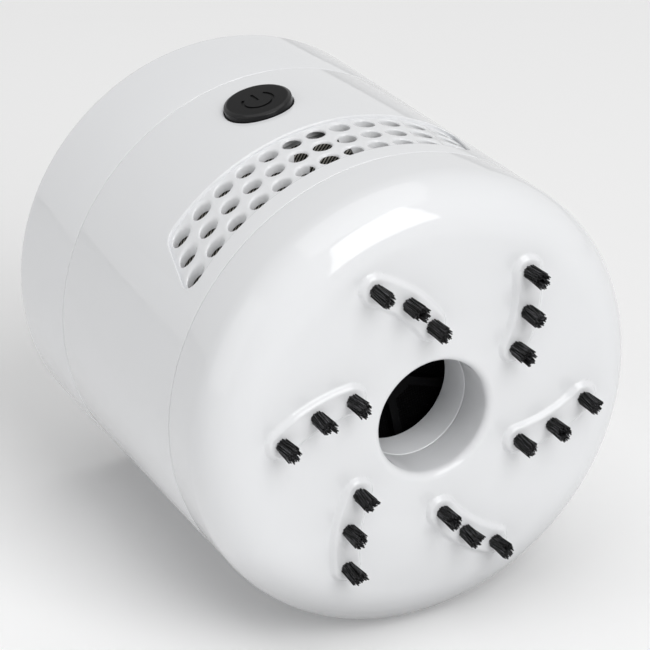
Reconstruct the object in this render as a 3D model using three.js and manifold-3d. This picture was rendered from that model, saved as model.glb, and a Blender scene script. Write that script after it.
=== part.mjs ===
// Desktop mini vacuum cleaner: a drum that stands on the tips of its bristles.
// Millimetres, +Z up, origin on the drum's axis at the level of the bristle tips.
// The power button and the vent panel face +X.
import * as THREE from 'three';
import { mergeVertices } from 'three/addons/utils/BufferGeometryUtils.js';
import Module from 'manifold-3d';

const wasm = await Module();
wasm.setup();

// Driving dimensions of the drum
const drumWall = 2.4;
const faceHeight = 5.8;
const lowerSeamHeight = 22.9;
const fit = 0.3;
const cutOverrun = 1;

// Smoothness of round shapes, in facets
const drumFacets = 40;
const ringFacets = 30;
const holeFacets = 8;
const filletFacets = 5;
const innerFilletFacets = 1;
const lipFacets = 2;
const motorFacets = 20;
const cellFacets = 18;
const arcFacets = 12;

// Bottom cover
const coverEdgeRadius = 9.3;
const inletRadius = 10.75;
const inletLipRadius = 1.5;
const collarWall = 2;
const collarLength = 8.05;
const spigotWall = 2;
const spigotLength = 4.25;
const spigotRootDrop = 1.4;
const coverRibCount = 3;
const coverRibWidth = 1.6;
const coverRibInset = 3.6;
const ribTurn = 88;

// Brush pads, one arc of three tufts each
const padCount = 6;
const padHeight = 1;
const padHalfWidth = 3.2;
const padRounding = 0.9;
const padRoundingFacets = 1;
const padArcFacets = 5;
const tuftPlaceShares = [0.2126, 0.6, 0.9867];
const tuftTurnDegrees = [8.16, -1.95, -11.87];

// Tufts and their backing
const tuftRadius = 1.25;
const tuftHoleGap = 0.3;
const plugFacets = 8;
const bristleSetCount = 3;
const backingThickness = 1.5;
const backingMargin = 3.2;
const backingMarginDegrees = 8;
const strandRadius = 0.2;
const strandRingCounts = [1, 5, 11];
const strandRingRadius = 0.92;
const strandSink = 0.35;
const strandCutDepth = 0.5;
const strandShortening = 0.9;
const strandStepShare = 0.37;
const strandMixShare = 0.618;

// Dust cup
const cupFloor = 1.5;
const cupWall = 1.5;
const cupTubeWall = 1.6;
const cupTubeDrop = 1.5;

// Seal ring
const sealSection = 0.5;
const sealGrooveDepth = 1.2;
const sealGrooveWidth = 1.6;
const sealRingGap = 0.25;
const sealFacets = 5;

// Filter
const filterFrameHeight = 2.4;
const filterGuardGap = 2;
const filterRimWidth = 2.6;
const filterSpokeCount = 6;
const filterSpokeWidth = 1.6;
const filterSpokeHeight = 1.3;
const filterHubRadius = 5;
const gauzeThickness = 0.5;

// Vent panel and its gauze
const ventRows = 3;
const ventColumns = 12;
const ventPitch = 4.8;
const ventRowPitch = 5.1;
const ventSlantShare = 0.27;
const ventHoleRadius = 1.7;
const ventDrop = 0.5;
const ventMargin = 2.35;
const ventCornerRadius = 1.8;
const ventPanelDepth = 0.6;
const ventGauzeHalfAngleDegrees = 50;

// Fan guard, impeller and motor deck
const guardThickness = 1;
const guardEyeRadius = 12;
const guardLip = 0.7;
const deckThickness = 2;
const fanRoomHeight = 14.3;
const pillarRadius = 2.6;
const pillarInset = 5.1;
const pillarTurns = [90, 210, 330];
const bossTurns = [30, 150, 270];
const bossInset = 4.1;
const ledgeWidth = 2.4;
const ledgeThickness = 1.2;
const ledgeBossRadius = 3;
const ledgeBossHeight = 5;
const impellerPillarGap = 3.9;
const impellerPlate = 1.2;
const impellerDeckGap = 2.8;
const bladeCount = 9;
const bladeHeight = 9;
const bladeThickness = 1.1;
const bladeInnerRadius = 11.5;
const bladeSweepDegrees = 58;
const bladeSteps = 4;
const impellerHubRadius = 4.5;
const impellerConeRadius = 5;

// Motor
const motorRadius = 12;
const motorLength = 17;
const motorEdge = 1;
const motorBossRadius = 3.2;
const motorBossLength = 1.5;
const shaftRadius = 1;
const shaftTopDepth = 2.9;
const endCapHeight = 2;
const endCapRadius = 11.2;
const terminalWidth = 2.4;
const terminalThickness = 0.5;
const terminalHeight = 2.2;
const terminalSpacing = 7;
const motorScrewSpacing = 8;

// Screws
const screwRadius = 1;
const screwHeadRadius = 1.9;
const screwHeadHeight = 1.2;
const screwLength = 4;
const screwFacets = 6;
const screwGap = 0.3;

// Power button and its switch
const buttonAboveDeck = 12.3;
const buttonOffset = 1.15;
const buttonRadius = 6.3;
const buttonProud = 1;
const buttonEdge = 0.6;
const buttonEdgeFacets = 2;
const buttonFacets = 24;
const buttonFlangeWidth = 0.9;
const buttonFlangeThickness = 1.4;
const buttonStroke = 1.5;
const plungerRadius = 1.6;
const plungerSocketDepth = 1.6;
const plungerInCase = 3;
const switchCaseLength = 7.5;
const switchCaseWidth = 8.5;
const boardThickness = 1.2;
const boardWidth = 16;
const boardHeight = 13;
const bracketThickness = 1.6;
const bracketFootShare = 0.66;
const bracketWindowShare = 0.55;

// Battery tray, cells and contacts
const trayFloor = 1.6;
const trayTerminalGap = 0.8;
const traySeamRise = 2.1;
const traySeatWidth = 1.4;
const trayScrewInset = 3.8;
const trayCornerGap = 2.75;
const trayBossTurns = [90, 270];
const trayWall = 1.6;
const trayWallHeight = 9;
const trayDivider = 0.7;
const cellRadius = 7.25;
const cellLength = 49.5;
const cellNubRadius = 2.6;
const cellNubLength = 1;
const cellEdge = 0.6;
const cellEndRoom = 8;
const contactThickness = 0.5;
const contactWidth = 9;
const contactHeight = 9.5;
const contactTabWidth = 3;
const contactTabDrop = 1.2;
const springTurns = 3.5;
const springRadius = 2.8;
const springWire = 0.3;
const springStepsPerTurn = 8;
const springSides = 5;
const springCheckSteps = 400;
const wireRadius = 0.7;
const wireSides = 8;
const wireStepDiameters = 3;
const switchWireShift = 2.2;
const switchWireRise = 1;

// Top cap
const capTop = 2.2;
const capRoom = 5.4;
const capEdgeRadius = 1.6;
const capSeatLength = 4.4;

// Cap seat and other rings turned into the main body
const capSeatWall = 2;

// Distance under which corners are one corner
const weld = 1e-4;

// Derived heights and radii
const cellOffset = trayDivider / 2 + fit + cellRadius;
const trayRoomHalfWidth = cellOffset + cellRadius + fit;
const trayHalfLength = (cellLength + cellNubLength + cellEndRoom) / 2;
const trayCornerRadius = Math.hypot(trayHalfLength + trayWall, trayRoomHalfWidth + trayWall);
const trayRadius = trayCornerRadius + trayCornerGap;
const drumInner = trayRadius + fit + capSeatWall + fit;
const drumRadius = drumInner + drumWall;
const padTopHeight = faceHeight - padHeight;
const faceRadius = drumRadius - coverEdgeRadius;
const firstTuftLimit = inletRadius + inletLipRadius + padHalfWidth;
const lastTuftLimit = faceRadius - padHalfWidth;
const tuftRadii = tuftPlaceShares.map((share) => firstTuftLimit + (lastTuftLimit - firstTuftLimit) * share);
const backingInnerRadius = Math.min(...tuftRadii) - backingMargin;
const backingOuterRadius = Math.max(...tuftRadii) + backingMargin;
const collarTopHeight = faceHeight + collarLength;
const coverRibOuterRadius = drumInner - coverRibInset;
const spigotOuter = drumInner - fit;
const spigotInner = spigotOuter - spigotWall;
const capSeatInner = drumInner - fit - capSeatWall;
const seamHalfGap = fit / 2;
const coverTop = lowerSeamHeight - seamHalfGap;
const bodyBottom = lowerSeamHeight + seamHalfGap;
const spigotTop = coverTop + spigotLength;
const coverFloorTop = faceHeight + drumWall;
const backingBottom = coverFloorTop + fit;
const guardBottom = spigotTop + fit;
const guardTop = guardBottom + guardThickness;
const deckHeight = guardTop + fanRoomHeight;
const deckTop = deckHeight + deckThickness;
const ventMiddleHeight = (guardTop + deckHeight) / 2 - ventDrop;
const pillarCircleRadius = drumInner - pillarInset;
const bossCircleRadius = drumInner - bossInset;
const impellerRadius = pillarCircleRadius - pillarRadius - impellerPillarGap;
const impellerTopHeight = deckHeight - impellerDeckGap;
const ledgeBottom = deckTop + fit;
const motorFoot = deckTop + fit;
const motorTop = motorFoot + motorLength;
const endCapFoot = motorTop + fit;
const endCapTop = endCapFoot + endCapHeight;
const shaftTopHeight = motorTop - shaftTopDepth;
const trayFloorHeight = endCapTop + fit + terminalHeight + trayTerminalGap;
const trayTop = trayFloorHeight + trayFloor;
const trayScrewRadius = capSeatInner - trayScrewInset;
const upperSeamHeight = trayFloorHeight + traySeamRise;
const bodyTop = upperSeamHeight - seamHalfGap;
const capBottom = upperSeamHeight + seamHalfGap;
const cellAxisHeight = trayTop + fit + cellRadius;
const capCeiling = cellAxisHeight + cellRadius + capRoom;
const topHeight = capCeiling + capTop;
const cupBottom = collarTopHeight + fit;
const cupOuter = spigotInner - fit;
const filterBottom = guardBottom - filterGuardGap - filterFrameHeight;
const cupRimHeight = filterBottom - fit;
const cupTubeTopHeight = cupRimHeight - cupTubeDrop;
const filterOuter = spigotInner - fit;
const buttonHeight = deckTop + buttonAboveDeck;
const buttonFlangeRadius = buttonRadius + buttonFlangeWidth;
const flangeReach = Math.abs(buttonOffset) + buttonFlangeRadius;
const flangeFront = Math.sqrt(drumInner ** 2 - flangeReach ** 2) - fit;
const flangeBack = flangeFront - buttonFlangeThickness;
const switchFront = flangeBack - buttonStroke - 2 * fit;
const switchBack = switchFront - switchCaseLength;
const boardBack = switchBack - fit - boardThickness;
const bracketBack = boardBack - fit - bracketThickness;
const bracketFootLength = (bracketBack - motorRadius) * bracketFootShare;
const bracketScrewX = bracketBack - bracketFootLength / 2;
const bracketScrewPlaces = [1, -1].map((side) => [bracketScrewX, buttonOffset + (side * boardWidth) / 4]);
const contactOuter = trayHalfLength - fit;
const contactInner = contactOuter - contactThickness;
const springLength = 2 * contactInner - cellLength - cellNubLength - 3 * fit;
const cellShift = contactInner - fit - (cellLength + cellNubLength) / 2;
const degrees = Math.PI / 180;

// Wires: their ends, and each bend as shares of the straight way: along it, to the side and down
const contactWireX = -(contactInner + contactThickness / 2);
const contactWireHeight = trayFloorHeight - contactTabDrop - fit;
const switchWireX = boardBack - fit;
const switchWireHeight = buttonHeight + switchWireRise;
const terminalWireX = terminalWidth / 2 + fit;
const terminalWireHeight = endCapTop + fit + terminalHeight / 2;
const batterySwitchShares = [
  [0, 0, 0.0321], [0.067, 0.0963, 0.0795], [0.32, 0.2953, 0.0874], [0.664, 0.3228, 0.0535],
  [0.855, 0.1962, 0.0339], [0.935, 0.049, 0.0107], [0.966, -0.0027, 0.005],
];
const switchMotorShares = [
  [0.076, 0.0167, 0.0219], [0.183, -0.0245, 0.0115], [0.382, -0.1077, -0.0431],
  [0.622, -0.1059, -0.0854], [0.861, -0.0308, -0.0397],
];
const motorBatteryShares = [
  [0.129, 0.0619, 0.0048], [0.386, 0.1048, 0.0435], [0.717, 0.0058, 0.1061], [0.952, 0, 0.1032],
  [1, 0, 0.0516],
];
const batterySwitchRoute = wireRoute(
  [contactWireX, cellOffset, contactWireHeight],
  [switchWireX, buttonOffset + switchWireShift, switchWireHeight],
  batterySwitchShares,
);
const switchMotorRoute = wireRoute(
  [switchWireX, buttonOffset - switchWireShift, switchWireHeight],
  [terminalWireX, -terminalSpacing, terminalWireHeight],
  switchMotorShares,
);
const motorBatteryRoute = wireRoute(
  [-terminalWireX, terminalSpacing, terminalWireHeight],
  [contactWireX, -cellOffset, contactWireHeight],
  motorBatteryShares,
);

function wireRoute(start, end, bendShares) {
  const length = new THREE.Vector3(...start).distanceTo(new THREE.Vector3(...end));
  const bends = bendShares.map(([along, aside, down]) => {
    const [x, y, z] = start.map((value, axis) => value + (end[axis] - value) * along);
    return [x, y + length * aside, z - length * down];
  });
  return [start, ...bends, end];
}

// Solids from geometries

function solid(geometry) {
  const bare = new THREE.BufferGeometry();
  bare.setAttribute('position', geometry.getAttribute('position'));
  if (geometry.index) {
    bare.setIndex(geometry.index);
  }
  const merged = mergeVertices(bare, weld);
  const kept = [];
  const index = merged.index.array;
  for (let i = 0; i < index.length; i += 3) {
    const [a, b, c] = [index[i], index[i + 1], index[i + 2]];
    if (a !== b && b !== c && c !== a) {
      kept.push(a, b, c);
    }
  }
  return new wasm.Manifold(new wasm.Mesh({
    numProp: 3,
    vertProperties: new Float32Array(merged.getAttribute('position').array),
    triVerts: new Uint32Array(kept),
  }));
}

function geometryOf(body) {
  const mesh = body.getMesh();
  const geometry = new THREE.BufferGeometry();
  geometry.setAttribute('position', new THREE.BufferAttribute(new Float32Array(mesh.vertProperties), 3));
  geometry.setIndex(new THREE.BufferAttribute(new Uint32Array(mesh.triVerts), 1));
  geometry.computeVertexNormals();
  return geometry;
}

// A closed profile of [radius, height] points, counterclockwise, turned about Z
function turned(profile, facets = drumFacets) {
  const points = profile.map(([r, z]) => new THREE.Vector2(r, z));
  points.push(points[0].clone());
  return solid(new THREE.LatheGeometry(points, facets).rotateX(Math.PI / 2));
}

function arcPoints(r0, z0, radius, fromDegrees, toDegrees, facets = filletFacets) {
  const points = [];
  for (let i = 0; i <= facets; i += 1) {
    const angle = (fromDegrees + ((toDegrees - fromDegrees) * i) / facets) * degrees;
    points.push([r0 + radius * Math.cos(angle), z0 + radius * Math.sin(angle)]);
  }
  return points;
}

function ring(inner, outer, bottom, top, facets = ringFacets) {
  return turned([[inner, bottom], [outer, bottom], [outer, top], [inner, top]], facets);
}

function rod(radius, bottom, top, facets = ringFacets, x = 0, y = 0) {
  const geometry = new THREE.CylinderGeometry(radius, radius, top - bottom, facets);
  geometry.rotateX(Math.PI / 2).translate(x, y, (bottom + top) / 2);
  return solid(geometry);
}

function rodAlongX(radius, back, front, facets, z, y = 0) {
  const geometry = new THREE.CylinderGeometry(radius, radius, front - back, facets);
  geometry.rotateZ(Math.PI / 2).translate((back + front) / 2, y, z);
  return solid(geometry);
}

function block(x0, x1, y0, y1, z0, z1) {
  const geometry = new THREE.BoxGeometry(x1 - x0, y1 - y0, z1 - z0);
  geometry.translate((x0 + x1) / 2, (y0 + y1) / 2, (z0 + z1) / 2);
  return solid(geometry);
}

function plate(shape, bottom, top, curveSegments = arcFacets) {
  const depth = top - bottom;
  const geometry = new THREE.ExtrudeGeometry(shape, { depth, bevelEnabled: false, curveSegments });
  return solid(geometry.translate(0, 0, bottom));
}

// Round tube along a smooth route, with a step every few diameters
function tube(points, radius, sides, stepDiameters) {
  const section = new THREE.Shape();
  for (let i = 0; i < sides; i += 1) {
    const angle = (2 * Math.PI * i) / sides;
    const [x, y] = [radius * Math.cos(angle), radius * Math.sin(angle)];
    if (i === 0) {
      section.moveTo(x, y);
    } else {
      section.lineTo(x, y);
    }
  }
  const path = new THREE.CatmullRomCurve3(points.map((p) => new THREE.Vector3(...p)));
  const steps = Math.ceil(path.getLength() / (2 * radius * stepDiameters));
  return solid(new THREE.ExtrudeGeometry(section, { steps, bevelEnabled: false, extrudePath: path }));
}

function joined(bodies) {
  return bodies.reduce((whole, body) => whole.add(body));
}

function around(count, make, offsetDegrees = 0) {
  const copies = [];
  for (let i = 0; i < count; i += 1) {
    copies.push(make().rotate([0, 0, offsetDegrees + (360 * i) / count]));
  }
  return copies;
}

// Named pieces

const finishes = {
  shell: { color: 0xe6e7ea, roughness: 0.25, metalness: 0 },
  plainPlastic: { color: 0xd9dadd, roughness: 0.5, metalness: 0 },
  button: { color: 0x2a2a2b, roughness: 0.4, metalness: 0 },
  bristle: { color: 0x111112, roughness: 0.6, metalness: 0 },
  gauze: { color: 0x17171a, roughness: 0.9, metalness: 0 },
  rubber: { color: 0x222224, roughness: 0.8, metalness: 0 },
  blackPlastic: { color: 0x1d1d1f, roughness: 0.5, metalness: 0 },
  steel: { color: 0xb8babd, roughness: 0.35, metalness: 1 },
  brass: { color: 0xc9a55a, roughness: 0.35, metalness: 1 },
  board: { color: 0x2c6b3f, roughness: 0.5, metalness: 0 },
  cell: { color: 0x4a5560, roughness: 0.4, metalness: 0.3 },
  redWire: { color: 0xa8201c, roughness: 0.5, metalness: 0 },
  blackWire: { color: 0x161617, roughness: 0.5, metalness: 0 },
};

const cleaner = new THREE.Group();

function place(name, body, finish, group = cleaner) {
  const mesh = new THREE.Mesh(geometryOf(body), new THREE.MeshStandardMaterial(finishes[finish]));
  mesh.name = name;
  group.add(mesh);
  return mesh;
}

// Screw with its head down at z = 0 and its thread upwards; or turned over
function screwSolid() {
  const head = rod(screwHeadRadius, 0, screwHeadHeight, screwFacets);
  const thread = rod(screwRadius, screwHeadHeight / 2, screwHeadHeight + screwLength, screwFacets);
  return head.add(thread);
}

function screwHole(bottom, top, x, y) {
  return rod(screwRadius + screwGap, bottom, top, screwFacets, x, y);
}

function placeScrew(name, x, y, z, pointsDown) {
  const screw = place(name, screwSolid(), 'steel');
  screw.position.set(x, y, z);
  if (pointsDown) {
    screw.rotation.x = Math.PI;
  }
}

function polar(radius, angleDegrees) {
  return [radius * Math.cos(angleDegrees * degrees), radius * Math.sin(angleDegrees * degrees)];
}

// Where the three tufts of a pad stand
function tuftPlaces(pad) {
  return tuftRadii.map((radius, i) => polar(radius, tuftTurnDegrees[i] + (360 * pad) / padCount));
}

// The arc through a pad's three tufts
function padArc(pad) {
  const [a, b, c] = tuftPlaces(pad).map(([x, y]) => new THREE.Vector2(x, y));
  const d = 2 * (a.x * (b.y - c.y) + b.x * (c.y - a.y) + c.x * (a.y - b.y));
  const x = (a.lengthSq() * (b.y - c.y) + b.lengthSq() * (c.y - a.y) + c.lengthSq() * (a.y - b.y)) / d;
  const y = (a.lengthSq() * (c.x - b.x) + b.lengthSq() * (a.x - c.x) + c.lengthSq() * (b.x - a.x)) / d;
  const centre = new THREE.Vector2(x, y);
  const start = a.clone().sub(centre).angle();
  let sweep = c.clone().sub(centre).angle() - start;
  if (sweep > Math.PI) {
    sweep -= 2 * Math.PI;
  }
  if (sweep < -Math.PI) {
    sweep += 2 * Math.PI;
  }
  return { centre, radius: a.distanceTo(centre), start, sweep };
}

// Bean-shaped outline that keeps one half width all along the pad's arc
function padShape(pad, halfWidth) {
  const arc = padArc(pad);
  const { x, y } = arc.centre;
  const end = arc.start + arc.sweep;
  const back = arc.sweep < 0;
  const halfTurn = back ? -Math.PI : Math.PI;
  const tip = (angle) => [x + arc.radius * Math.cos(angle), y + arc.radius * Math.sin(angle)];
  const shape = new THREE.Shape();
  shape.absarc(x, y, arc.radius + halfWidth, arc.start, end, back);
  shape.absarc(...tip(end), halfWidth, end, end + halfTurn, back);
  shape.absarc(x, y, arc.radius - halfWidth, end, arc.start, !back);
  shape.absarc(...tip(arc.start), halfWidth, arc.start + halfTurn, arc.start + 2 * halfTurn, back);
  return shape;
}

function mainBody() {
  const seatOuter = drumInner - fit;
  const seatTop = bodyTop + capSeatLength;
  const trayLedgeTop = trayFloorHeight - fit;
  const trayLedgeInner = capSeatInner - traySeatWidth;
  const trayLedgeBottom = trayLedgeTop - ledgeThickness;
  const ledgeInner = drumInner - ledgeWidth;
  const ledgeTop = ledgeBottom + ledgeThickness;
  let body = turned([
    [drumInner, bodyBottom],
    [drumRadius, bodyBottom],
    [drumRadius, bodyTop],
    [seatOuter, bodyTop],
    [seatOuter, seatTop],
    [capSeatInner, seatTop],
    [capSeatInner, trayLedgeTop],
    [trayLedgeInner, trayLedgeTop],
    [trayLedgeInner, trayLedgeBottom],
    [drumInner, trayLedgeBottom - (drumInner - trayLedgeInner)],
    [drumInner, ledgeTop + ledgeWidth],
    [ledgeInner, ledgeTop],
    [ledgeInner, ledgeBottom],
    [drumInner, ledgeBottom],
  ]);
  for (const angle of bossTurns) {
    const [x, y] = polar(bossCircleRadius, angle);
    const boss = rod(ledgeBossRadius, ledgeBottom, ledgeBottom + ledgeBossHeight, screwFacets, x, y);
    const hole = screwHole(ledgeBottom - cutOverrun, deckHeight + screwLength, x, y);
    body = body.add(boss).subtract(hole);
  }
  for (const angle of trayBossTurns) {
    const [x, y] = polar(trayScrewRadius, angle);
    const bossBottom = trayLedgeTop - screwLength;
    const boss = rod(ledgeBossRadius, bossBottom, trayLedgeTop, screwFacets, x, y);
    const hole = screwHole(bossBottom + fit, trayLedgeTop + cutOverrun, x, y);
    body = body.add(boss.intersect(rod(capSeatInner, bossBottom, trayLedgeTop))).subtract(hole);
  }
  const pocketBack = flangeBack - buttonStroke - cutOverrun;
  const pocket = (radius, front) => rodAlongX(
    radius + fit, pocketBack, front, buttonFacets, buttonHeight, buttonOffset,
  );
  body = body.subtract(pocket(buttonRadius, drumRadius + cutOverrun));
  body = body.subtract(pocket(buttonFlangeRadius, flangeFront + fit));
  return body.subtract(ventPanelCut()).subtract(ventHoles());
}

// Rows of round holes that all run along X, as the mould's slide draws them out of the wall
function ventHoles() {
  const front = drumRadius + cutOverrun;
  const holes = [];
  for (let row = 0; row < ventRows; row += 1) {
    const z = ventMiddleHeight + (row - (ventRows - 1) / 2) * ventRowPitch;
    const shift = (z - ventMiddleHeight) * ventSlantShare;
    for (let column = 0; column < ventColumns; column += 1) {
      const y = shift + (column - (ventColumns - 1) / 2) * ventPitch;
      const reach = Math.abs(y) + ventHoleRadius;
      const back = Math.sqrt(drumInner ** 2 - reach ** 2) - cutOverrun;
      holes.push(rodAlongX(ventHoleRadius, back, front, holeFacets, z, y));
    }
  }
  return joined(holes);
}

// Slanted sunken panel: its outline is drawn along X and its floor follows the drum
function ventPanelCut() {
  const halfHeight = ((ventRows - 1) * ventRowPitch) / 2 + ventMargin;
  const slantLength = Math.hypot(1, ventSlantShare);
  const halfLength = ((ventColumns - 1) * ventPitch) / 2 + ventMargin * slantLength;
  const corners = [[-1, -1], [1, -1], [1, 1], [-1, 1]].map(([along, up]) => new THREE.Vector2(
    along * halfLength + up * halfHeight * ventSlantShare,
    ventMiddleHeight + up * halfHeight,
  ));
  const shape = new THREE.Shape();
  corners.forEach((corner, i) => {
    const before = corners[(i + 3) % 4].clone().sub(corner).setLength(ventCornerRadius).add(corner);
    const after = corners[(i + 1) % 4].clone().sub(corner).setLength(ventCornerRadius).add(corner);
    if (i === 0) {
      shape.moveTo(before.x, before.y);
    } else {
      shape.lineTo(before.x, before.y);
    }
    shape.quadraticCurveTo(corner.x, corner.y, after.x, after.y);
  });
  const geometry = new THREE.ExtrudeGeometry(shape, {
    depth: drumRadius + cutOverrun, bevelEnabled: false, curveSegments: filletFacets,
  });
  const alongX = new THREE.Matrix4().makeBasis(
    new THREE.Vector3(0, 1, 0),
    new THREE.Vector3(0, 0, 1),
    new THREE.Vector3(1, 0, 0),
  );
  const through = solid(geometry.applyMatrix4(alongX));
  const sleeve = ring(drumRadius - ventPanelDepth, drumRadius + cutOverrun, bodyBottom, bodyTop, drumFacets);
  return through.intersect(sleeve);
}

function bottomCover() {
  const edgeHeight = faceHeight + coverEdgeRadius;
  const lipHeight = faceHeight + inletLipRadius;
  const groove = spigotOuter - sealGrooveDepth;
  const grooveMiddle = coverTop + spigotLength / 2;
  const rootHeight = coverTop - spigotRootDrop;
  let cover = turned([
    [inletRadius, collarTopHeight],
    ...arcPoints(inletRadius + inletLipRadius, lipHeight, inletLipRadius, 180, 270, lipFacets),
    ...arcPoints(faceRadius, edgeHeight, coverEdgeRadius, -90, 0),
    [drumRadius, coverTop],
    [spigotOuter, coverTop],
    [spigotOuter, grooveMiddle - sealGrooveWidth / 2],
    [groove, grooveMiddle - sealGrooveWidth / 2],
    [groove, grooveMiddle + sealGrooveWidth / 2],
    [spigotOuter, grooveMiddle + sealGrooveWidth / 2],
    [spigotOuter, spigotTop],
    [spigotInner, spigotTop],
    [spigotInner, rootHeight],
    [drumInner, rootHeight - (drumInner - spigotInner)],
    ...arcPoints(faceRadius, edgeHeight, coverEdgeRadius - drumWall, 0, -90, innerFilletFacets),
    [inletRadius + collarWall, coverFloorTop],
    [inletRadius + collarWall, collarTopHeight],
  ]);
  for (let pad = 0; pad < padCount; pad += 1) {
    cover = cover.add(padSolid(pad));
  }
  const ribs = around(coverRibCount, () => block(
    inletRadius + collarWall / 2, coverRibOuterRadius, -coverRibWidth / 2, coverRibWidth / 2,
    coverFloorTop - drumWall / 2, collarTopHeight,
  ), ribTurn);
  cover = cover.add(joined(ribs));
  const holes = [];
  for (let pad = 0; pad < padCount; pad += 1) {
    for (const [x, y] of tuftPlaces(pad)) {
      const holeRadius = tuftRadius + tuftHoleGap;
      holes.push(rod(holeRadius, padTopHeight - cutOverrun, coverFloorTop + cutOverrun, holeFacets, x, y));
    }
  }
  return cover.subtract(joined(holes));
}

// Raised brush pad with a rounded edge, sunk into the face
function padSolid(pad) {
  const geometry = new THREE.ExtrudeGeometry(padShape(pad, padHalfWidth - padRounding), {
    depth: padHeight - padRounding + fit,
    bevelThickness: padRounding,
    bevelSize: padRounding,
    bevelSegments: padRoundingFacets,
    curveSegments: padArcFacets,
  });
  return solid(geometry.translate(0, 0, padTopHeight + padRounding));
}

function dustCup() {
  const tubeOuter = inletRadius + cupTubeWall;
  return turned([
    [inletRadius, cupBottom],
    [cupOuter, cupBottom],
    [cupOuter, cupRimHeight],
    [cupOuter - cupWall, cupRimHeight],
    [cupOuter - cupWall, cupBottom + cupFloor],
    [tubeOuter, cupBottom + cupFloor],
    [tubeOuter, cupTubeTopHeight],
    [inletRadius, cupTubeTopHeight],
  ], ringFacets);
}

function sealRing() {
  const centre = spigotOuter - sealGrooveDepth + sealRingGap + sealSection;
  const height = coverTop + spigotLength / 2;
  const profile = arcPoints(centre, height, sealSection, 0, 360 - 360 / sealFacets, sealFacets - 1);
  return turned(profile, ringFacets);
}

// One strand with three sides, from its root down to its tip
function strand(x, y, root, tip) {
  const section = new THREE.Shape();
  section.moveTo(strandRadius, 0);
  for (const turn of [120, 240]) {
    section.lineTo(...polar(strandRadius, turn));
  }
  const geometry = new THREE.ExtrudeGeometry(section, { depth: root - tip, bevelEnabled: false });
  return solid(geometry.translate(x, y, tip));
}

// Strands in rings round a middle one; the tips end at different heights, as cut bristles do
function tuft(pad, place) {
  const [cx, cy] = tuftPlaces(pad)[place];
  const root = padTopHeight + strandSink;
  const strands = [];
  strandRingCounts.forEach((count, ringIndex) => {
    const radius = (strandRingRadius * ringIndex) / (strandRingCounts.length - 1);
    for (let i = 0; i < count; i += 1) {
      const [x, y] = polar(radius, (360 * i) / count);
      const step = (pad * tuftRadii.length + place) * strandStepShare + strands.length * strandMixShare;
      const tip = -strandCutDepth + strandShortening * (step % 1);
      strands.push(strand(x, y, root, tip));
    }
  });
  const plug = rod(tuftRadius, padTopHeight, backingBottom + backingThickness / 2, plugFacets);
  return plug.add(joined(strands)).translate([cx, cy, 0]);
}

function bristleSet(set) {
  const padsPerSet = padCount / bristleSetCount;
  const first = set * padsPerSet;
  const turnFrom = Math.min(...tuftTurnDegrees) + (360 * first) / padCount - backingMarginDegrees;
  const last = first + padsPerSet - 1;
  const turnTo = Math.max(...tuftTurnDegrees) + (360 * last) / padCount + backingMarginDegrees;
  const sector = new THREE.Shape();
  sector.absarc(0, 0, backingOuterRadius, turnFrom * degrees, turnTo * degrees, false);
  sector.absarc(0, 0, backingInnerRadius, turnTo * degrees, turnFrom * degrees, true);
  let body = plate(sector, backingBottom, backingBottom + backingThickness);
  for (let pad = first; pad < first + padsPerSet; pad += 1) {
    tuftRadii.forEach((radius, place) => {
      body = body.add(tuft(pad, place));
    });
  }
  const floor = block(-drumRadius, drumRadius, -drumRadius, drumRadius, -drumRadius, 0);
  return body.subtract(floor);
}

function filterFrame() {
  const inner = filterOuter - filterRimWidth;
  const spokeTop = filterBottom + filterSpokeHeight;
  const rim = ring(inner, filterOuter, filterBottom, filterBottom + filterFrameHeight);
  const hub = rod(filterHubRadius, filterBottom, spokeTop, holeFacets);
  const spokes = around(filterSpokeCount, () => block(
    filterHubRadius / 2, inner + filterRimWidth / 2, -filterSpokeWidth / 2, filterSpokeWidth / 2,
    filterBottom, spokeTop,
  ));
  return rim.add(hub).add(joined(spokes));
}

function filterGauze() {
  const bottom = filterBottom + filterSpokeHeight + fit;
  return rod(filterOuter - filterRimWidth - fit, bottom, bottom + gauzeThickness);
}

// Woven sheet bent along the inside of the wall, behind the holes
function ventGauze() {
  const outer = drumInner - fit;
  const sector = new THREE.Shape();
  const half = ventGauzeHalfAngleDegrees * degrees;
  sector.absarc(0, 0, outer, -half, half, false);
  sector.absarc(0, 0, outer - gauzeThickness, half, -half, true);
  return plate(sector, guardTop + fit, deckHeight - fit, arcFacets);
}

function fanGuard() {
  const outer = drumInner - fit;
  let guard = ring(guardEyeRadius, outer, guardBottom, guardTop);
  guard = guard.add(ring(guardEyeRadius, guardEyeRadius + guardThickness, guardBottom, guardTop + guardLip));
  for (const angle of pillarTurns) {
    const [x, y] = polar(pillarCircleRadius, angle);
    guard = guard.subtract(screwHole(guardBottom - cutOverrun, guardTop + cutOverrun, x, y));
  }
  return guard;
}

function motorDeck() {
  const outer = drumInner - fit;
  let deck = rod(outer, deckHeight, deckTop);
  for (const angle of pillarTurns) {
    const [x, y] = polar(pillarCircleRadius, angle);
    const pillar = rod(pillarRadius, guardTop + fit, deckHeight + deckThickness / 2, screwFacets, x, y);
    const holeTop = guardBottom + screwLength + screwGap;
    deck = deck.add(pillar).subtract(screwHole(guardTop, holeTop, x, y));
  }
  const through = [
    ...bossTurns.map((angle) => polar(bossCircleRadius, angle)),
    [0, motorScrewSpacing],
    [0, -motorScrewSpacing],
    ...bracketScrewPlaces,
  ];
  for (const [x, y] of through) {
    deck = deck.subtract(screwHole(deckHeight - cutOverrun, deckTop + cutOverrun, x, y));
  }
  return deck.subtract(rod(motorBossRadius + fit, deckHeight - cutOverrun, deckTop + cutOverrun));
}

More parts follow.
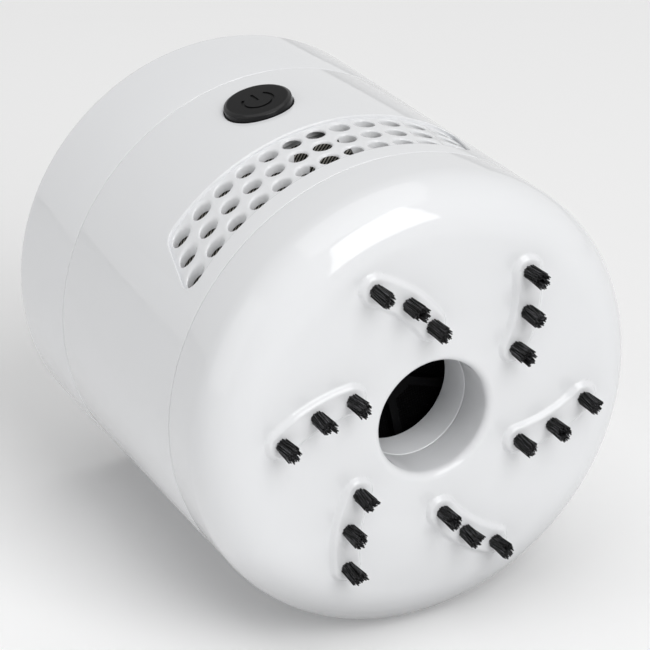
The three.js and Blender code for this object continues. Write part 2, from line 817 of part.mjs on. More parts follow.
// Flat radial fan: a plate, a curved hub and blades swept back
function impeller() {
  const plateBottom = impellerTopHeight - impellerPlate;
  const bladeBottom = plateBottom - bladeHeight;
  const bore = shaftRadius + fit;
  const cone = arcPoints(impellerHubRadius + impellerConeRadius, plateBottom - impellerConeRadius,
    impellerConeRadius, 180, 90, lipFacets);
  let fan = turned([
    [bore, bladeBottom],
    [impellerHubRadius, bladeBottom],
    ...cone,
    [impellerRadius, plateBottom],
    [impellerRadius, impellerTopHeight],
    [bore, impellerTopHeight],
  ], ringFacets);
  const side = (offset) => {
    const points = [];
    for (let i = 0; i <= bladeSteps; i += 1) {
      const radius = bladeInnerRadius + ((impellerRadius - bladeInnerRadius) * i) / bladeSteps;
      const angle = (bladeSweepDegrees * degrees * i) / bladeSteps + offset / radius;
      points.push(new THREE.Vector2(radius * Math.cos(angle), radius * Math.sin(angle)));
    }
    return points;
  };
  const outline = [...side(-bladeThickness / 2), ...side(bladeThickness / 2).reverse()];
  const blade = () => plate(new THREE.Shape(outline), bladeBottom, plateBottom + impellerPlate / 2);
  return fan.add(joined(around(bladeCount, blade)));
}

function motorCan() {
  const boreTop = shaftTopHeight + fit;
  const bore = shaftRadius + fit;
  const bossBottom = motorFoot - motorBossLength;
  let can = turned([
    [bore, bossBottom],
    [motorBossRadius, bossBottom],
    [motorBossRadius, motorFoot],
    [motorRadius - motorEdge, motorFoot],
    [motorRadius, motorFoot + motorEdge],
    [motorRadius, motorTop - motorEdge],
    [motorRadius - motorEdge, motorTop],
    [0, motorTop],
    [0, boreTop],
    [bore, boreTop],
  ], motorFacets);
  for (const y of [motorScrewSpacing, -motorScrewSpacing]) {
    can = can.subtract(screwHole(motorFoot - cutOverrun, deckHeight + screwLength + screwGap, 0, y));
  }
  return can;
}

function powerButton() {
  const socket = plungerRadius + fit;
  const socketEnd = flangeBack + plungerSocketDepth;
  const faceEnd = drumRadius + buttonProud;
  const button = turned([
    [0, socketEnd],
    [socket, socketEnd],
    [socket, flangeBack],
    [buttonFlangeRadius, flangeBack],
    [buttonFlangeRadius, flangeFront],
    [buttonRadius, flangeFront],
    ...arcPoints(buttonRadius - buttonEdge, faceEnd - buttonEdge, buttonEdge, 0, 90, buttonEdgeFacets),
    [0, faceEnd],
  ], buttonFacets);
  return button.rotate([0, 90, 0]).translate([0, buttonOffset, buttonHeight]);
}

function switchPlunger() {
  const front = flangeBack + plungerSocketDepth - fit;
  const back = switchFront - plungerInCase;
  return rodAlongX(plungerRadius, back, front, screwFacets, buttonHeight, buttonOffset);
}

function switchCase() {
  const half = switchCaseWidth / 2;
  const bore = plungerInCase + buttonStroke + fit;
  const body = block(switchBack, switchFront, buttonOffset - half, buttonOffset + half,
    buttonHeight - half, buttonHeight + half);
  const [back, front] = [switchFront - bore, switchFront + cutOverrun];
  return body.subtract(rodAlongX(plungerRadius + fit, back, front, screwFacets, buttonHeight, buttonOffset));
}

function switchBoard() {
  const [left, right] = [buttonOffset - boardWidth / 2, buttonOffset + boardWidth / 2];
  const [bottom, top] = [buttonHeight - boardHeight / 2, buttonHeight + boardHeight / 2];
  return block(boardBack, boardBack + boardThickness, left, right, bottom, top);
}

// Upright plate with a window for the wires, on a foot screwed to the deck
function switchBracket() {
  const top = buttonHeight + boardHeight / 2;
  const window = (boardHeight * bracketWindowShare) / 2;
  const windowHalf = (boardWidth * bracketWindowShare) / 2;
  const [left, right] = [buttonOffset - boardWidth / 2, buttonOffset + boardWidth / 2];
  const front = bracketBack + bracketThickness;
  let bracket = block(bracketBack, front, left, right, motorFoot, top);
  bracket = bracket.add(block(bracketBack - bracketFootLength, front, left, right,
    motorFoot, motorFoot + bracketThickness));
  bracket = bracket.subtract(block(bracketBack - cutOverrun, front + cutOverrun,
    buttonOffset - windowHalf, buttonOffset + windowHalf, buttonHeight - window, buttonHeight + window));
  for (const [x, y] of bracketScrewPlaces) {
    const hole = screwHole(motorFoot - cutOverrun, motorFoot + bracketThickness + cutOverrun, x, y);
    bracket = bracket.subtract(hole);
  }
  return bracket;
}

function batteryTray() {
  const wallTop = trayTop + trayWallHeight;
  const innerY = trayRoomHalfWidth;
  const outerY = innerY + trayWall;
  const outerX = trayHalfLength + trayWall;
  let tray = rod(trayRadius, trayFloorHeight, trayTop);
  const walls = block(-outerX, outerX, -outerY, outerY, trayTop - trayFloor / 2, wallTop);
  const room = block(-trayHalfLength, trayHalfLength, -innerY, innerY, trayTop, wallTop + cutOverrun);
  tray = tray.add(walls.subtract(room));
  tray = tray.add(block(-(contactInner - fit), contactInner - fit, -trayDivider / 2, trayDivider / 2,
    trayTop - trayFloor / 2, trayTop + cellRadius));
  for (const y of [cellOffset, -cellOffset]) {
    const half = contactTabWidth / 2 + fit;
    tray = tray.subtract(block(-trayHalfLength, -contactInner + fit, y - half, y + half,
      trayFloorHeight - cutOverrun, trayTop + cutOverrun));
  }
  for (const angle of trayBossTurns) {
    const [x, y] = polar(trayScrewRadius, angle);
    tray = tray.subtract(screwHole(trayFloorHeight - cutOverrun, trayTop + cutOverrun, x, y));
  }
  return tray;
}

// Round cell along X with its raised end towards +X
function cellSolid() {
  const back = -(cellLength + cellNubLength) / 2;
  const front = back + cellLength;
  const cell = turned([
    [0, back],
    [cellRadius - cellEdge, back],
    [cellRadius, back + cellEdge],
    [cellRadius, front - cellEdge],
    [cellRadius - cellEdge, front],
    [cellNubRadius, front],
    [cellNubRadius, front + cellNubLength],
    [0, front + cellNubLength],
  ], cellFacets);
  return cell.rotate([0, 90, 0]);
}

function contactPlate(y, width) {
  const bottom = trayTop + fit;
  return block(-contactOuter, -contactInner, y - width / 2, y + width / 2, bottom, bottom + contactHeight);
}

function contactWithTab(y) {
  const tab = block(-contactOuter, -contactInner, y - contactTabWidth / 2, y + contactTabWidth / 2,
    trayFloorHeight - contactTabDrop, trayTop + contactHeight / 2);
  return contactPlate(y, contactWidth).add(tab);
}

// Open coil along X, half a wire in from each end of its room
class SpringPath extends THREE.Curve {
  getPoint(share, target = new THREE.Vector3()) {
    const angle = 2 * Math.PI * springTurns * share;
    const along = springWire + (springLength - 2 * springWire) * share;
    return target.set(along, springRadius * Math.cos(angle), springRadius * Math.sin(angle));
  }
}

function contactSpring() {
  const section = new THREE.Shape();
  for (let i = 0; i < springSides; i += 1) {
    const point = polar(springWire, (360 * i) / springSides);
    if (i === 0) {
      section.moveTo(...point);
    } else {
      section.lineTo(...point);
    }
  }
  const steps = springTurns * springStepsPerTurn;
  const extrudePath = new SpringPath();
  return solid(new THREE.ExtrudeGeometry(section, { steps, bevelEnabled: false, extrudePath }));
}

// Least distance between the spring's turns, measured on points at least half a turn apart
function springSelfGap() {
  const path = new SpringPath();
  const points = [];
  for (let i = 0; i <= springCheckSteps; i += 1) {
    points.push(path.getPoint(i / springCheckSteps));
  }
  const halfTurn = Math.ceil(springCheckSteps / springTurns / 2);
  let least = Infinity;
  points.forEach((point, i) => {
    for (const other of points.slice(i + halfTurn)) {
      least = Math.min(least, point.distanceTo(other));
    }
  });
  return least - 2 * springWire;
}

function topCap() {
  const centre = drumRadius - capEdgeRadius;
  return turned([
    [drumInner, capBottom],
    [drumRadius, capBottom],
    ...arcPoints(centre, topHeight - capEdgeRadius, capEdgeRadius, 0, 90, lipFacets),
    [0, topHeight],
    [0, capCeiling],
    [drumInner - capEdgeRadius, capCeiling],
    [drumInner, capCeiling - capEdgeRadius],
  ]);
}

place('main_body', mainBody(), 'shell');
place('vent_gauze', ventGauze(), 'gauze');
place('fan_guard', fanGuard(), 'plainPlastic');
place('motor_deck', motorDeck(), 'plainPlastic');
place('motor_can', motorCan(), 'steel');
place('motor_end_cap', rod(endCapRadius, endCapFoot, endCapTop, motorFacets), 'blackPlastic');
[1, -1].forEach((side, i) => {
  const y = side * terminalSpacing;
  const foot = endCapTop + fit;
  const [halfWidth, halfThickness] = [terminalWidth / 2, terminalThickness / 2];
  const tab = block(-halfWidth, halfWidth, y - halfThickness, y + halfThickness, foot, foot + terminalHeight);
  place(`motor_terminal_${i + 1}`, tab, 'brass');
  placeScrew(`motor_screw_${i + 1}`, 0, side * motorScrewSpacing, deckHeight - fit - screwHeadHeight, false);
});
pillarTurns.forEach((angle, i) => {
  const headFoot = guardBottom - fit - screwHeadHeight;
  placeScrew(`guard_screw_${i + 1}`, ...polar(pillarCircleRadius, angle), headFoot, false);
});
bossTurns.forEach((angle, i) => {
  const headFoot = deckHeight - fit - screwHeadHeight;
  placeScrew(`deck_screw_${i + 1}`, ...polar(bossCircleRadius, angle), headFoot, false);
});

place('switch_bracket', switchBracket(), 'plainPlastic');
place('switch_board', switchBoard(), 'board');
place('switch_case', switchCase(), 'blackPlastic');
bracketScrewPlaces.forEach(([x, y], i) => {
  const headTop = motorFoot + bracketThickness + fit + screwHeadHeight;
  placeScrew(`bracket_screw_${i + 1}`, x, y, headTop, true);
});

place('battery_tray', batteryTray(), 'plainPlastic');
trayBossTurns.forEach((angle, i) => {
  const headTop = trayTop + fit + screwHeadHeight;
  placeScrew(`tray_screw_${i + 1}`, ...polar(trayScrewRadius, angle), headTop, true);
});
place('contact_positive', contactWithTab(cellOffset), 'brass');
place('contact_negative', contactWithTab(-cellOffset), 'brass');
place('contact_bridge', contactPlate(0, 2 * cellOffset + contactWidth).rotate([0, 0, 180]), 'brass');
const springs = [
  { name: 'contact_spring_1', x: contactInner - fit - springLength, y: cellOffset },
  { name: 'contact_spring_2', x: -(contactInner - fit), y: -cellOffset },
];
for (const { name, x, y } of springs) {
  place(name, contactSpring(), 'steel').position.set(x, y, cellAxisHeight);
}
place('wire_battery_switch', tube(batterySwitchRoute, wireRadius, wireSides, wireStepDiameters), 'redWire');
place('wire_switch_motor', tube(switchMotorRoute, wireRadius, wireSides, wireStepDiameters), 'redWire');
place('wire_motor_battery', tube(motorBatteryRoute, wireRadius, wireSides, wireStepDiameters), 'blackWire');

place('motor_shaft', rod(shaftRadius, impellerTopHeight - impellerPlate - bladeHeight + fit, shaftTopHeight,
  screwFacets), 'steel');
place('impeller', impeller(), 'blackPlastic');

place('power_button', powerButton(), 'button');
place('switch_plunger', switchPlunger(), 'plainPlastic');

place('bottom_cover', bottomCover(), 'shell');
place('dust_cup', dustCup(), 'shell');
place('seal_ring', sealRing(), 'rubber');
for (let set = 0; set < bristleSetCount; set += 1) {
  place(`bristle_set_${set + 1}`, bristleSet(set), 'bristle');
}

place('filter_frame', filterFrame(), 'blackPlastic');
place('filter_gauze', filterGauze(), 'gauze');

place('top_cap', topCap(), 'shell');
[1, -1].forEach((side, i) => {
  const cell = place(`cell_${i + 1}`, cellSolid(), 'cell');
  cell.rotation.z = side > 0 ? Math.PI : 0;
  cell.position.set(-side * cellShift, side * cellOffset, cellAxisHeight);
});

console.log(`least gap between the turns of a contact spring: ${springSelfGap().toFixed(2)} mm`);

export default cleaner;
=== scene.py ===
"""Looks for the desktop mini vacuum cleaner: a glossy white drum that stands on its bristles.

Laid out as an add-on. Run as a script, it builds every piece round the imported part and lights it.
Lengths are in metres. Angles are in degrees until math.radians turns them.
"""
import math

import bmesh
import bpy
from bpy.props import FloatProperty, FloatVectorProperty, IntProperty, PointerProperty
from mathutils import Matrix, Vector


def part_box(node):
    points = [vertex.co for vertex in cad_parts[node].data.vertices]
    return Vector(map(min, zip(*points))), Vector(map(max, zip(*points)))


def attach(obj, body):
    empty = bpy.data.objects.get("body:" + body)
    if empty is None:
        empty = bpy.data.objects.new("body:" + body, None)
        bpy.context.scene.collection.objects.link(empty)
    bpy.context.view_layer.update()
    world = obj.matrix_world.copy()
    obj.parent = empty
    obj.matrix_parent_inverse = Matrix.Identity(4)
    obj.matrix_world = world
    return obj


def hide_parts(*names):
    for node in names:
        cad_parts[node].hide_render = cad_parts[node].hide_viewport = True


bl_info = {
    "name": "Desktop Mini Vacuum Cleaner",
    "version": (1, 0, 0),
    "blender": (4, 5, 0),
    "location": "View3D > Sidebar > Cleaner",
    "description": "Builds a small drum-shaped desk vacuum cleaner and its studio",
    "category": "Object",
}

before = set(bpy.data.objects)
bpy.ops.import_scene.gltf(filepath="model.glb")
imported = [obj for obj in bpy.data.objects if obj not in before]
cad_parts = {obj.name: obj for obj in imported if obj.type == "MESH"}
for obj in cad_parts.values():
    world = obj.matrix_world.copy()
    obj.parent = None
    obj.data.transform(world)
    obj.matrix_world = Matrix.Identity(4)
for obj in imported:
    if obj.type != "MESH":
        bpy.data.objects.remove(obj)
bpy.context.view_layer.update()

# Corners of the part's solids that the pieces keep to
body_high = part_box("main_body")[1]
cover_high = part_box("bottom_cover")[1]
cap_low, cap_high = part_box("top_cap")
cup_low, cup_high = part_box("dust_cup")
tray_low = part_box("battery_tray")[0]
deck_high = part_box("motor_deck")[1]
button_low, button_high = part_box("power_button")
button_middle = (button_low + button_high) / 2

MM = 0.001
FULL_TURN = 2 * math.pi
GOLDEN_ANGLE = math.radians(137.50776)

# Fineness of the shapes
WALL_STEPS = 384
FACE_STEPS = 540
FACE_RING_SPACING = 0.26 * MM
SMALL_STEPS = 96
CORNER_SEGMENTS = 6
EDGE_SEGMENTS = 24
LIP_SEGMENTS = 10
HOLE_SEGMENTS_PER_SIDE = 8
RIM_SEGMENTS = 3
STRAND_SIDES = 6
OUTLINE_SPACING = 1.2 * MM
WELD_DISTANCE = 1e-6
TILE_TOLERANCE = 1e-4
SHARP_ANGLE = math.radians(32)
CUTTER_OVERRUN = 1 * MM

# Shells
CLEARANCE = 0.3 * MM
SEAM_ABOVE_CUP = 0.3 * MM
SPIGOT_WALL = 2 * MM
SPIGOT_ROOT_DROP = 1.4 * MM
GROOVE_DEPTH = 1.2 * MM
GROOVE_WIDTH = 1.6 * MM
COLLAR_WALL = 2 * MM
TUBE_WALL = 1.6 * MM
TUBE_DROP = 1.5 * MM
CUP_WALL = 1.5 * MM
LEDGE = 1.2 * MM
SHELF_WIDTH = 2 * LEDGE
TRAY_SEAT = 1.4 * MM
CAP_TOP = 2.2 * MM

# Vent panel
VENT_ROWS = 3
VENT_COLUMNS = 12
VENT_SLANT_SHARE = 0.27
VENT_MARGIN = 2.5 * MM
VENT_BORDER = 1.2 * MM
VENT_CORNER = 2.6 * MM
VENT_RIM = 0.3 * MM
VENT_WALL_OVERLAP = 0.8 * MM
VENT_HOLE_RIM = 0.5 * MM
BRIDGE_LIFT = 1 * MM
THIN_START = -2.5 * MM
THIN_END = 6.3 * MM
THIN_WALL = 0.45 * MM

# Power button and its sign
FLANGE = 1.4 * MM
BUTTON_GAP = 0.15 * MM
BUTTON_RIM = 0.25 * MM
BUTTON_BEVEL = 0.55 * MM
BUTTON_EDGE = 0.3 * MM
SIGN_WIDTH = 0.55 * MM
SIGN_DEPTH = 0.22 * MM
SIGN_RADIUS = 2.8 * MM
SIGN_DROP = 0.3 * MM
SIGN_HALF_GAP = 46

# Brush pads and bristles
PAD_COUNT = 6
PADS_PER_SET = 2
PAD_EDGE = 0.95 * MM
PAD_FOOT_SHARE = 1.3
PAD_ZONE = 1 * MM
TUFT_RADII = (18.65 * MM, 24.48 * MM, 30.3 * MM)
TUFT_TURNS = (8.16, -1.95, -11.87)
TUFT_TWIST = math.radians(32)
TWIST_PER_TUFT = 3
TIP_SPREAD = 1.12
TIP_STEP = 1.3 * MM
STEP_PER_TUFT = 0.37
STEP_PER_STRAND = 0.618
STRAND_TAPER = 0.9
STRAND_LEAN = 0.09 * MM
LEAN_TURNS = 7
BACKING_INNER = 15.5 * MM
BACKING_OUTER = 33.5 * MM
BACKING_THICKNESS = 1.5 * MM
BACKING_MARGIN = 8

# Battery cells
CELL_NUB = 1 * MM
CELL_NUB_RADIUS = 2.6 * MM
CELL_NUB_EDGE = 0.3 * MM
CELL_NUB_FOOT = 0.2 * MM
CELL_EDGE = 0.8 * MM
CELL_FACE_INSET = 1.2 * MM
CELL_BAND = 10 * MM

# Screws: kind, how many, and whether the head is on top
SCREWS = (
    ("motor", 2, False),
    ("guard", 3, False),
    ("deck", 3, False),
    ("bracket", 2, True),
    ("tray", 2, True),
)
SCREW_HEAD_RADIUS = 1.9 * MM
SCREW_HEAD_HEIGHT = 1.2 * MM
SCREW_HEAD_DOME = 0.55 * MM
SCREW_HEAD_EDGE = 0.1 * MM
SCREW_RADIUS = 1 * MM
SCREW_POINT = 0.4 * MM
RECESS_LENGTH = 2 * MM
RECESS_WIDTH = 0.45 * MM
RECESS_DEPTH = 0.6 * MM

# Patterns of the finishes
PLASTIC_BENDING = 1.5
GLOSSY_ROUGHNESS = 0.04
CLOUD_SIZE = 18 * MM
CLOUD_SHADES = (0.985, 1)
CLOUD_ROUGHNESS = 0.04
HANDLING_SIZE = 2.6 * MM
HANDLING_ROUGHNESS = 0.02
RIPPLE_SIZE = 3.5 * MM
RIPPLE_DEPTH = 0.004 * MM
SATIN_BENDING = 1.47
SATIN_ROUGHNESS = 0.37
SATIN_CLOUD_SIZE = 9 * MM
SATIN_CLOUD_ROUGHNESS = 0.07
GRAIN_SIZE = 0.35 * MM
GRAIN_SHADES = (0.9, 1.08)
GRAIN_ROUGHNESS = 0.05
GRAIN_DEPTH = 0.012 * MM
RUBBER_ROUGHNESS = 0.34
RUBBER_GRAIN_SIZE = 0.22 * MM
RUBBER_GRAIN_SHADES = (0.6, 1.7)
RUBBER_GRAIN_ROUGHNESS = 0.1
RUBBER_GRAIN_DEPTH = 0.006 * MM
FINGER_POLISH = 0.5
NYLON_BENDING = 1.33
NYLON_ROUGHNESS = 0.3
STREAK_SIZE = 0.22 * MM
STREAK_STRETCH = (1, 1, 0.08)
# Bristle streaks painted lighter than the black nylon: painted sheen
PAINTED_SHEEN_EDGE = (0.52, 0.66)
PAINTED_SHEEN_SHADES = (0.3, 12)
STREAK_ROUGHNESS = 0.25
STREAK_DEPTH = 0.01 * MM
VENT_GAUZE_PITCH = 0.6 * MM
FILTER_GAUZE_PITCH = 0.5 * MM
RIB_TURN = (math.radians(45), 0, 0)
# Holes of a gauze painted nearly black: painted shade
PAINTED_GAP_SHADES = (0.02, 1)
GAP_ROUGHNESS = 0.9
THREAD_EDGE = 0.3
THREAD_PALENESS = 0.55
THREAD_POLISH = 0.2
FUZZ_PALENESS = 0.6
METAL_ROUGHNESS = 0.22
BRUSHING_SIZE = 0.2 * MM
BRUSHING_STRETCH = (1, 0.06, 0.06)
BRUSHING_SHADES = (0.86, 1.05)
BRUSHING_ROUGHNESS = 0.16
BRUSHING_DEPTH = 0.006 * MM
DUST_SIZE = 1.2 * MM
DUST_SHADES = (0.85, 1.2)
DUST_ROUGHNESS = 0.16
DUST_DEPTH = 0.01 * MM
BOARD_ROUGHNESS = 0.35
BOARD_CLOUD_ROUGHNESS = 0.1
TRACK_PITCH = 1.6 * MM
TRACK_EDGE = (0.72, 0.86)
TRACK_ROW_PITCH = 5.2 * MM
TRACK_ROW_EDGE = (-0.6, -0.4)
TRACK_WANDER = 9
TRACK_WANDER_SIZE = 3 * MM
TRACK_HEIGHT = 0.03 * MM

# Colours of the finishes that aren't for changing
# Factor that makes the dust cup paler than the shell's same plastic: painted light that brightens the deep
# inlet bore
CUP_PAINTED_LIGHT = 1.12
STEEL = (0.6, 0.61, 0.62)
BRASS = (0.75, 0.58, 0.28)
CELL_END = (0.3, 0.3, 0.31)
CELL_BAND_COPPER = (0.55, 0.33, 0.17)
SOLDER_MASK = (0.02, 0.14, 0.05)
MASKED_TRACK = (0.05, 0.26, 0.09)
SEAL_RUBBER = (0.03, 0.03, 0.03)
RED_WIRE = (0.5, 0.02, 0.015)
BLACK_WIRE = (0.014, 0.014, 0.015)

# Finishes of the part's own inner pieces
INNER_FINISHES = {
    "vent_gauze": ["vent_gauze"],
    "filter_gauze": ["filter_gauze"],
    "filter_frame": ["filter_frame"],
    "inner_plastic": ["fan_guard", "motor_deck", "switch_bracket", "battery_tray", "switch_plunger"],
    "black_plastic": ["motor_end_cap", "switch_case", "impeller"],
    "steel": ["motor_can", "motor_shaft", "contact_spring_1", "contact_spring_2"],
    "brass": [
        "motor_terminal_1", "motor_terminal_2", "contact_positive", "contact_negative", "contact_bridge",
    ],
    "board": ["switch_board"],
    "rubber": ["seal_ring"],
    "red_wire": ["wire_battery_switch", "wire_switch_motor"],
    "black_wire": ["wire_motor_battery"],
}

# Floor, lamps and camera
FLOOR_AZIMUTH = 12.48
FLOOR_SIZE = 6.0
FLOOR_CONTACT = 25 * MM
SOFTBOX_AZIMUTH = 24.17
SOFTBOX_ELEVATION = -48.78
SOFTBOX_TURN = 26.8
SOFTBOX_DISTANCE = 2.0
SOFTBOX_LENGTH = 1.58
SOFTBOX_WIDTH = 1.2
OVERHEAD_DISTANCE = 3.0
OVERHEAD_SIZE = 3.1
SIDE_AZIMUTH = -62
SIDE_DISTANCE = 3.0
SIDE_SIZE = 2.6
CAMERA_AIM = (0.16 * MM, 0.26 * MM, 47 * MM)
CAMERA_AZIMUTH = -31.241
CAMERA_ELEVATION = -52.359
CAMERA_DISTANCE = 472.97 * MM
CAMERA_ROLL = -50.375
SENSOR_WIDTH = 36
NEAREST_SEEN = 0.01
FARTHEST_SEEN = 20


# Settings

def length_property(name, description, default):
    return FloatProperty(
        name=name, description=description, default=default, unit="LENGTH", subtype="DISTANCE",
    )


def colour_property(name, description, default):
    return FloatVectorProperty(name=name, description=description, default=default, subtype="COLOR")


def paleness_property(name, description, default):
    return FloatProperty(name=name, description=description, default=default, min=0, max=1, subtype="FACTOR")


def brightness_property(name, description, default):
    return FloatProperty(name=name, description=description, default=default, min=0)


class CleanerSizes(bpy.types.PropertyGroup):
    """Sizes of the cleaner's moulded pieces, in metres."""

    drum_radius: length_property("Drum radius", "Outer radius of the drum", body_high.y)
    wall: length_property("Wall", "Thickness of the drum's wall", 2.4 * MM)
    seam_width: length_property("Seam width", "Open gap between two rings of the drum", 0.12 * MM)
    edge_rounding: length_property("Edge rounding", "Rounding of the rings' edges at the seams", 0.2 * MM)
    face_height: length_property("Face height", "Height of the brush face above the bristle tips", 5.8 * MM)
    cover_edge: length_property("Cover edge", "Rounding between the drum's side and its brush face", 9.3 * MM)
    cap_edge: length_property("Cap edge", "Rounding of the top cap's edge", 1.6 * MM)
    inlet_radius: length_property("Inlet radius", "Radius of the suction inlet", 10.75 * MM)
    inlet_lip: length_property("Inlet lip", "Rounding of the inlet's edge", 1.5 * MM)
    pad_height: length_property("Pad height", "How far the brush pads stand out of the face", 0.9 * MM)
    pad_half_width: length_property("Pad half width", "Half the width of a brush pad", 3.05 * MM)
    vent_hole_radius: length_property("Vent hole radius", "Radius of each vent hole", 1.7 * MM)
    vent_pitch: length_property("Vent pitch", "Distance between the holes of a row", 4.8 * MM)
    vent_row_pitch: length_property("Vent row pitch", "Distance between the rows of holes", 5.1 * MM)
    vent_height: length_property("Vent height", "Height of the middle row of holes", 34.95 * MM)
    vent_depth: length_property("Vent depth", "How deep the vent panel is sunk", 0.6 * MM)
    button_radius: length_property("Button radius", "Radius of the power button", 6.3 * MM)
    tuft_radius: length_property("Tuft radius", "Radius of a tuft where it leaves its pad", 1.42 * MM)
    strand_radius: length_property("Strand radius", "Radius of one bristle strand", 0.14 * MM)
    strands_per_tuft: IntProperty(
        name="Strands per tuft", description="How many strands make a tuft", default=64, min=8,
    )


class CleanerColours(bpy.types.PropertyGroup):
    """Colours of the cleaner's finishes."""

    shell: colour_property("Shell", "Glossy white plastic", (0.8, 0.808, 0.822))
    inner_plastic: colour_property("Inner plastic", "Satin plastic inside the drum", (0.78, 0.785, 0.79))
    button: colour_property("Button", "Charcoal of the power button", (0.006, 0.006, 0.0063))
    bristle: colour_property("Bristle", "Black nylon of the bristles", (0.006, 0.006, 0.0065))
    gauze: colour_property("Gauze", "Threads of the gauze behind the vent", (0.5, 0.48, 0.43))
    black_plastic: colour_property("Black plastic", "Black moulded plastic", (0.012, 0.012, 0.013))
    filter: colour_property("Filter", "Black of the filter's frame and gauze", (0.005, 0.005, 0.0055))
    wrapper: colour_property("Cell wrapper", "Wrapper of the battery cells", (0.1, 0.13, 0.17))


class StageSettings(bpy.types.PropertyGroup):
    """Floor, lamps and camera."""

    background: paleness_property("Background", "Brightness of the floor and what lies behind it", 0.888)
    floor: paleness_property("Floor", "Paleness of the floor", 0.97)
    surround: brightness_property("Surround", "Light that comes evenly from all sides", 0.31)
    softbox: brightness_property("Softbox", "Brightness of the lamp in front", 3.7)
    overhead: brightness_property("Overhead", "Brightness of the lamp above the floor", 1.05)
    side: brightness_property("Side", "Brightness of the lamp beside the drum", 0.65)
    lens: FloatProperty(
        name="Lens", description="Focal length of the camera in millimetres",
        default=140.72, min=1, unit="CAMERA",
    )


# Shapes

def around(angle):
    """Unit vector (across, up) at an angle in radians."""
    return Vector((math.cos(angle), math.sin(angle)))


def arc(across, up, radius, start, end, segments):
    """Points on an arc, its angles in degrees."""
    angles = [math.radians(start + (end - start) * step / segments) for step in range(segments + 1)]
    return [Vector((across + radius * math.cos(angle), up + radius * math.sin(angle))) for angle in angles]


def rounded(corners, closed=True):
    """Points of an outline: each corner is (across, up, rounding), and its arc meets both sides."""
    points = []
    last = len(corners) - 1
    for index, (across, up, rounding) in enumerate(corners):
        corner = Vector((across, up))
        if rounding == 0 or (not closed and index in (0, last)):
            points.append(corner)
            continue
        before = (Vector(corners[index - 1][:2]) - corner).normalized()
        after = (Vector(corners[(index + 1) % len(corners)][:2]) - corner).normalized()
        half_angle = before.angle(after) / 2
        reach = rounding / math.tan(half_angle)
        centre = corner + (before + after).normalized() * (rounding / math.sin(half_angle))
        start = corner + before * reach - centre
        sweep = start.angle_signed(corner + after * reach - centre)
        for step in range(CORNER_SEGMENTS + 1):
            turn = Matrix.Rotation(-sweep * step / CORNER_SEGMENTS, 2)
            points.append(centre + turn @ start)
    return points


def evenly(start, end, spacing):
    """Values from start towards end, about one spacing apart, without the end itself."""
    count = max(1, math.ceil(abs(end - start) / spacing))
    return [start + (end - start) * step / count for step in range(count)]


def half_steps(count):
    """Middles of count unit steps, centred on zero."""
    return [step - (count - 1) / 2 for step in range(count)]


def turned(points, steps, closed=True):
    """Mesh of an outline of (radius, height) points spun once round the upright axis."""
    mesh = bmesh.new()
    verts = [mesh.verts.new((radius, 0, height)) for radius, height in points]
    following = verts[1:] + verts[:1] if closed else verts[1:]
    edges = [mesh.edges.new(pair) for pair in zip(verts, following)]
    bmesh.ops.spin(
        mesh, geom=verts + edges, cent=(0, 0, 0), axis=(0, 0, 1), angle=FULL_TURN, steps=steps,
        use_merge=True,
    )
    bmesh.ops.remove_doubles(mesh, verts=mesh.verts, dist=WELD_DISTANCE)
    bmesh.ops.recalc_face_normals(mesh, faces=mesh.faces)
    return mesh


def picked(geometry, kind):
    """The verts, edges or faces among what a mesh operator gives back."""
    return [item for item in geometry if isinstance(item, kind)]


def prism_along_x(outline, back, front):
    """Closed prism with an outline (across, up) between two places along X."""
    mesh = bmesh.new()
    face = mesh.faces.new([mesh.verts.new((back, point.x, point.y)) for point in outline])
    grown = bmesh.ops.extrude_face_region(mesh, geom=[face])["geom"]
    bmesh.ops.translate(mesh, vec=(front - back, 0, 0), verts=picked(grown, bmesh.types.BMVert))
    bmesh.ops.recalc_face_normals(mesh, faces=mesh.faces)
    return mesh


def onto_drum(mesh, radius):
    """Bends a flat mesh (across, up, out) on to the drum's side, keeping its places along Y and Z."""
    for vert in mesh.verts:
        across, up, out = vert.co
        vert.co = (math.sqrt((radius + out) ** 2 - across ** 2), across, up)


def face_towards(mesh, target):
    """Turns an open sheet's faces so that they look at a point."""
    mesh.normal_update()
    agreement = sum(face.normal.dot(target - face.calc_center_median()) for face in mesh.faces)
    if agreement < 0:
        bmesh.ops.reverse_faces(mesh, faces=mesh.faces)


# Objects

def add_object(name, data):
    """Object of a mesh, lamp or camera, linked to the scene."""
    made = bpy.data.objects.new(name, data)
    bpy.context.scene.collection.objects.link(made)
    return made


def new_object(name, mesh):
    """Object of a bmesh, which is used up."""
    data = bpy.data.meshes.new(name)
    mesh.to_mesh(data)
    mesh.free()
    return add_object(name, data)


def cut_out(target, cutters):
    """Takes the closed meshes of cutters out of an object."""
    for mesh in cutters:
        cutter = new_object("cutter", mesh)
        modifier = target.modifiers.new("cut", "BOOLEAN")
        modifier.operation = "DIFFERENCE"
        modifier.solver = "EXACT"
        modifier.object = cutter
        evaluated = target.evaluated_get(bpy.context.evaluated_depsgraph_get())
        cut = bpy.data.meshes.new_from_object(evaluated)
        target.modifiers.clear()
        target.data = cut
        bpy.data.objects.remove(cutter)


def join_in(target, meshes):
    """Adds more meshes to an object's own."""
    whole = bmesh.new()
    whole.from_mesh(target.data)
    for mesh in meshes:
        extra = bpy.data.meshes.new("extra")
        mesh.to_mesh(extra)
        mesh.free()
        whole.from_mesh(extra)
        bpy.data.meshes.remove(extra)
    whole.to_mesh(target.data)
    whole.free()


def finish_piece(piece, body, materials, replaced):
    """Smooths a piece, gives it its finishes and ties it to the part."""
    data = piece.data
    data.polygons.foreach_set("use_smooth", [True] * len(data.polygons))
    data.set_sharp_from_angle(angle=SHARP_ANGLE)
    for material in materials:
        data.materials.append(material)
    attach(piece, body)
    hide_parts(replaced)


# Materials

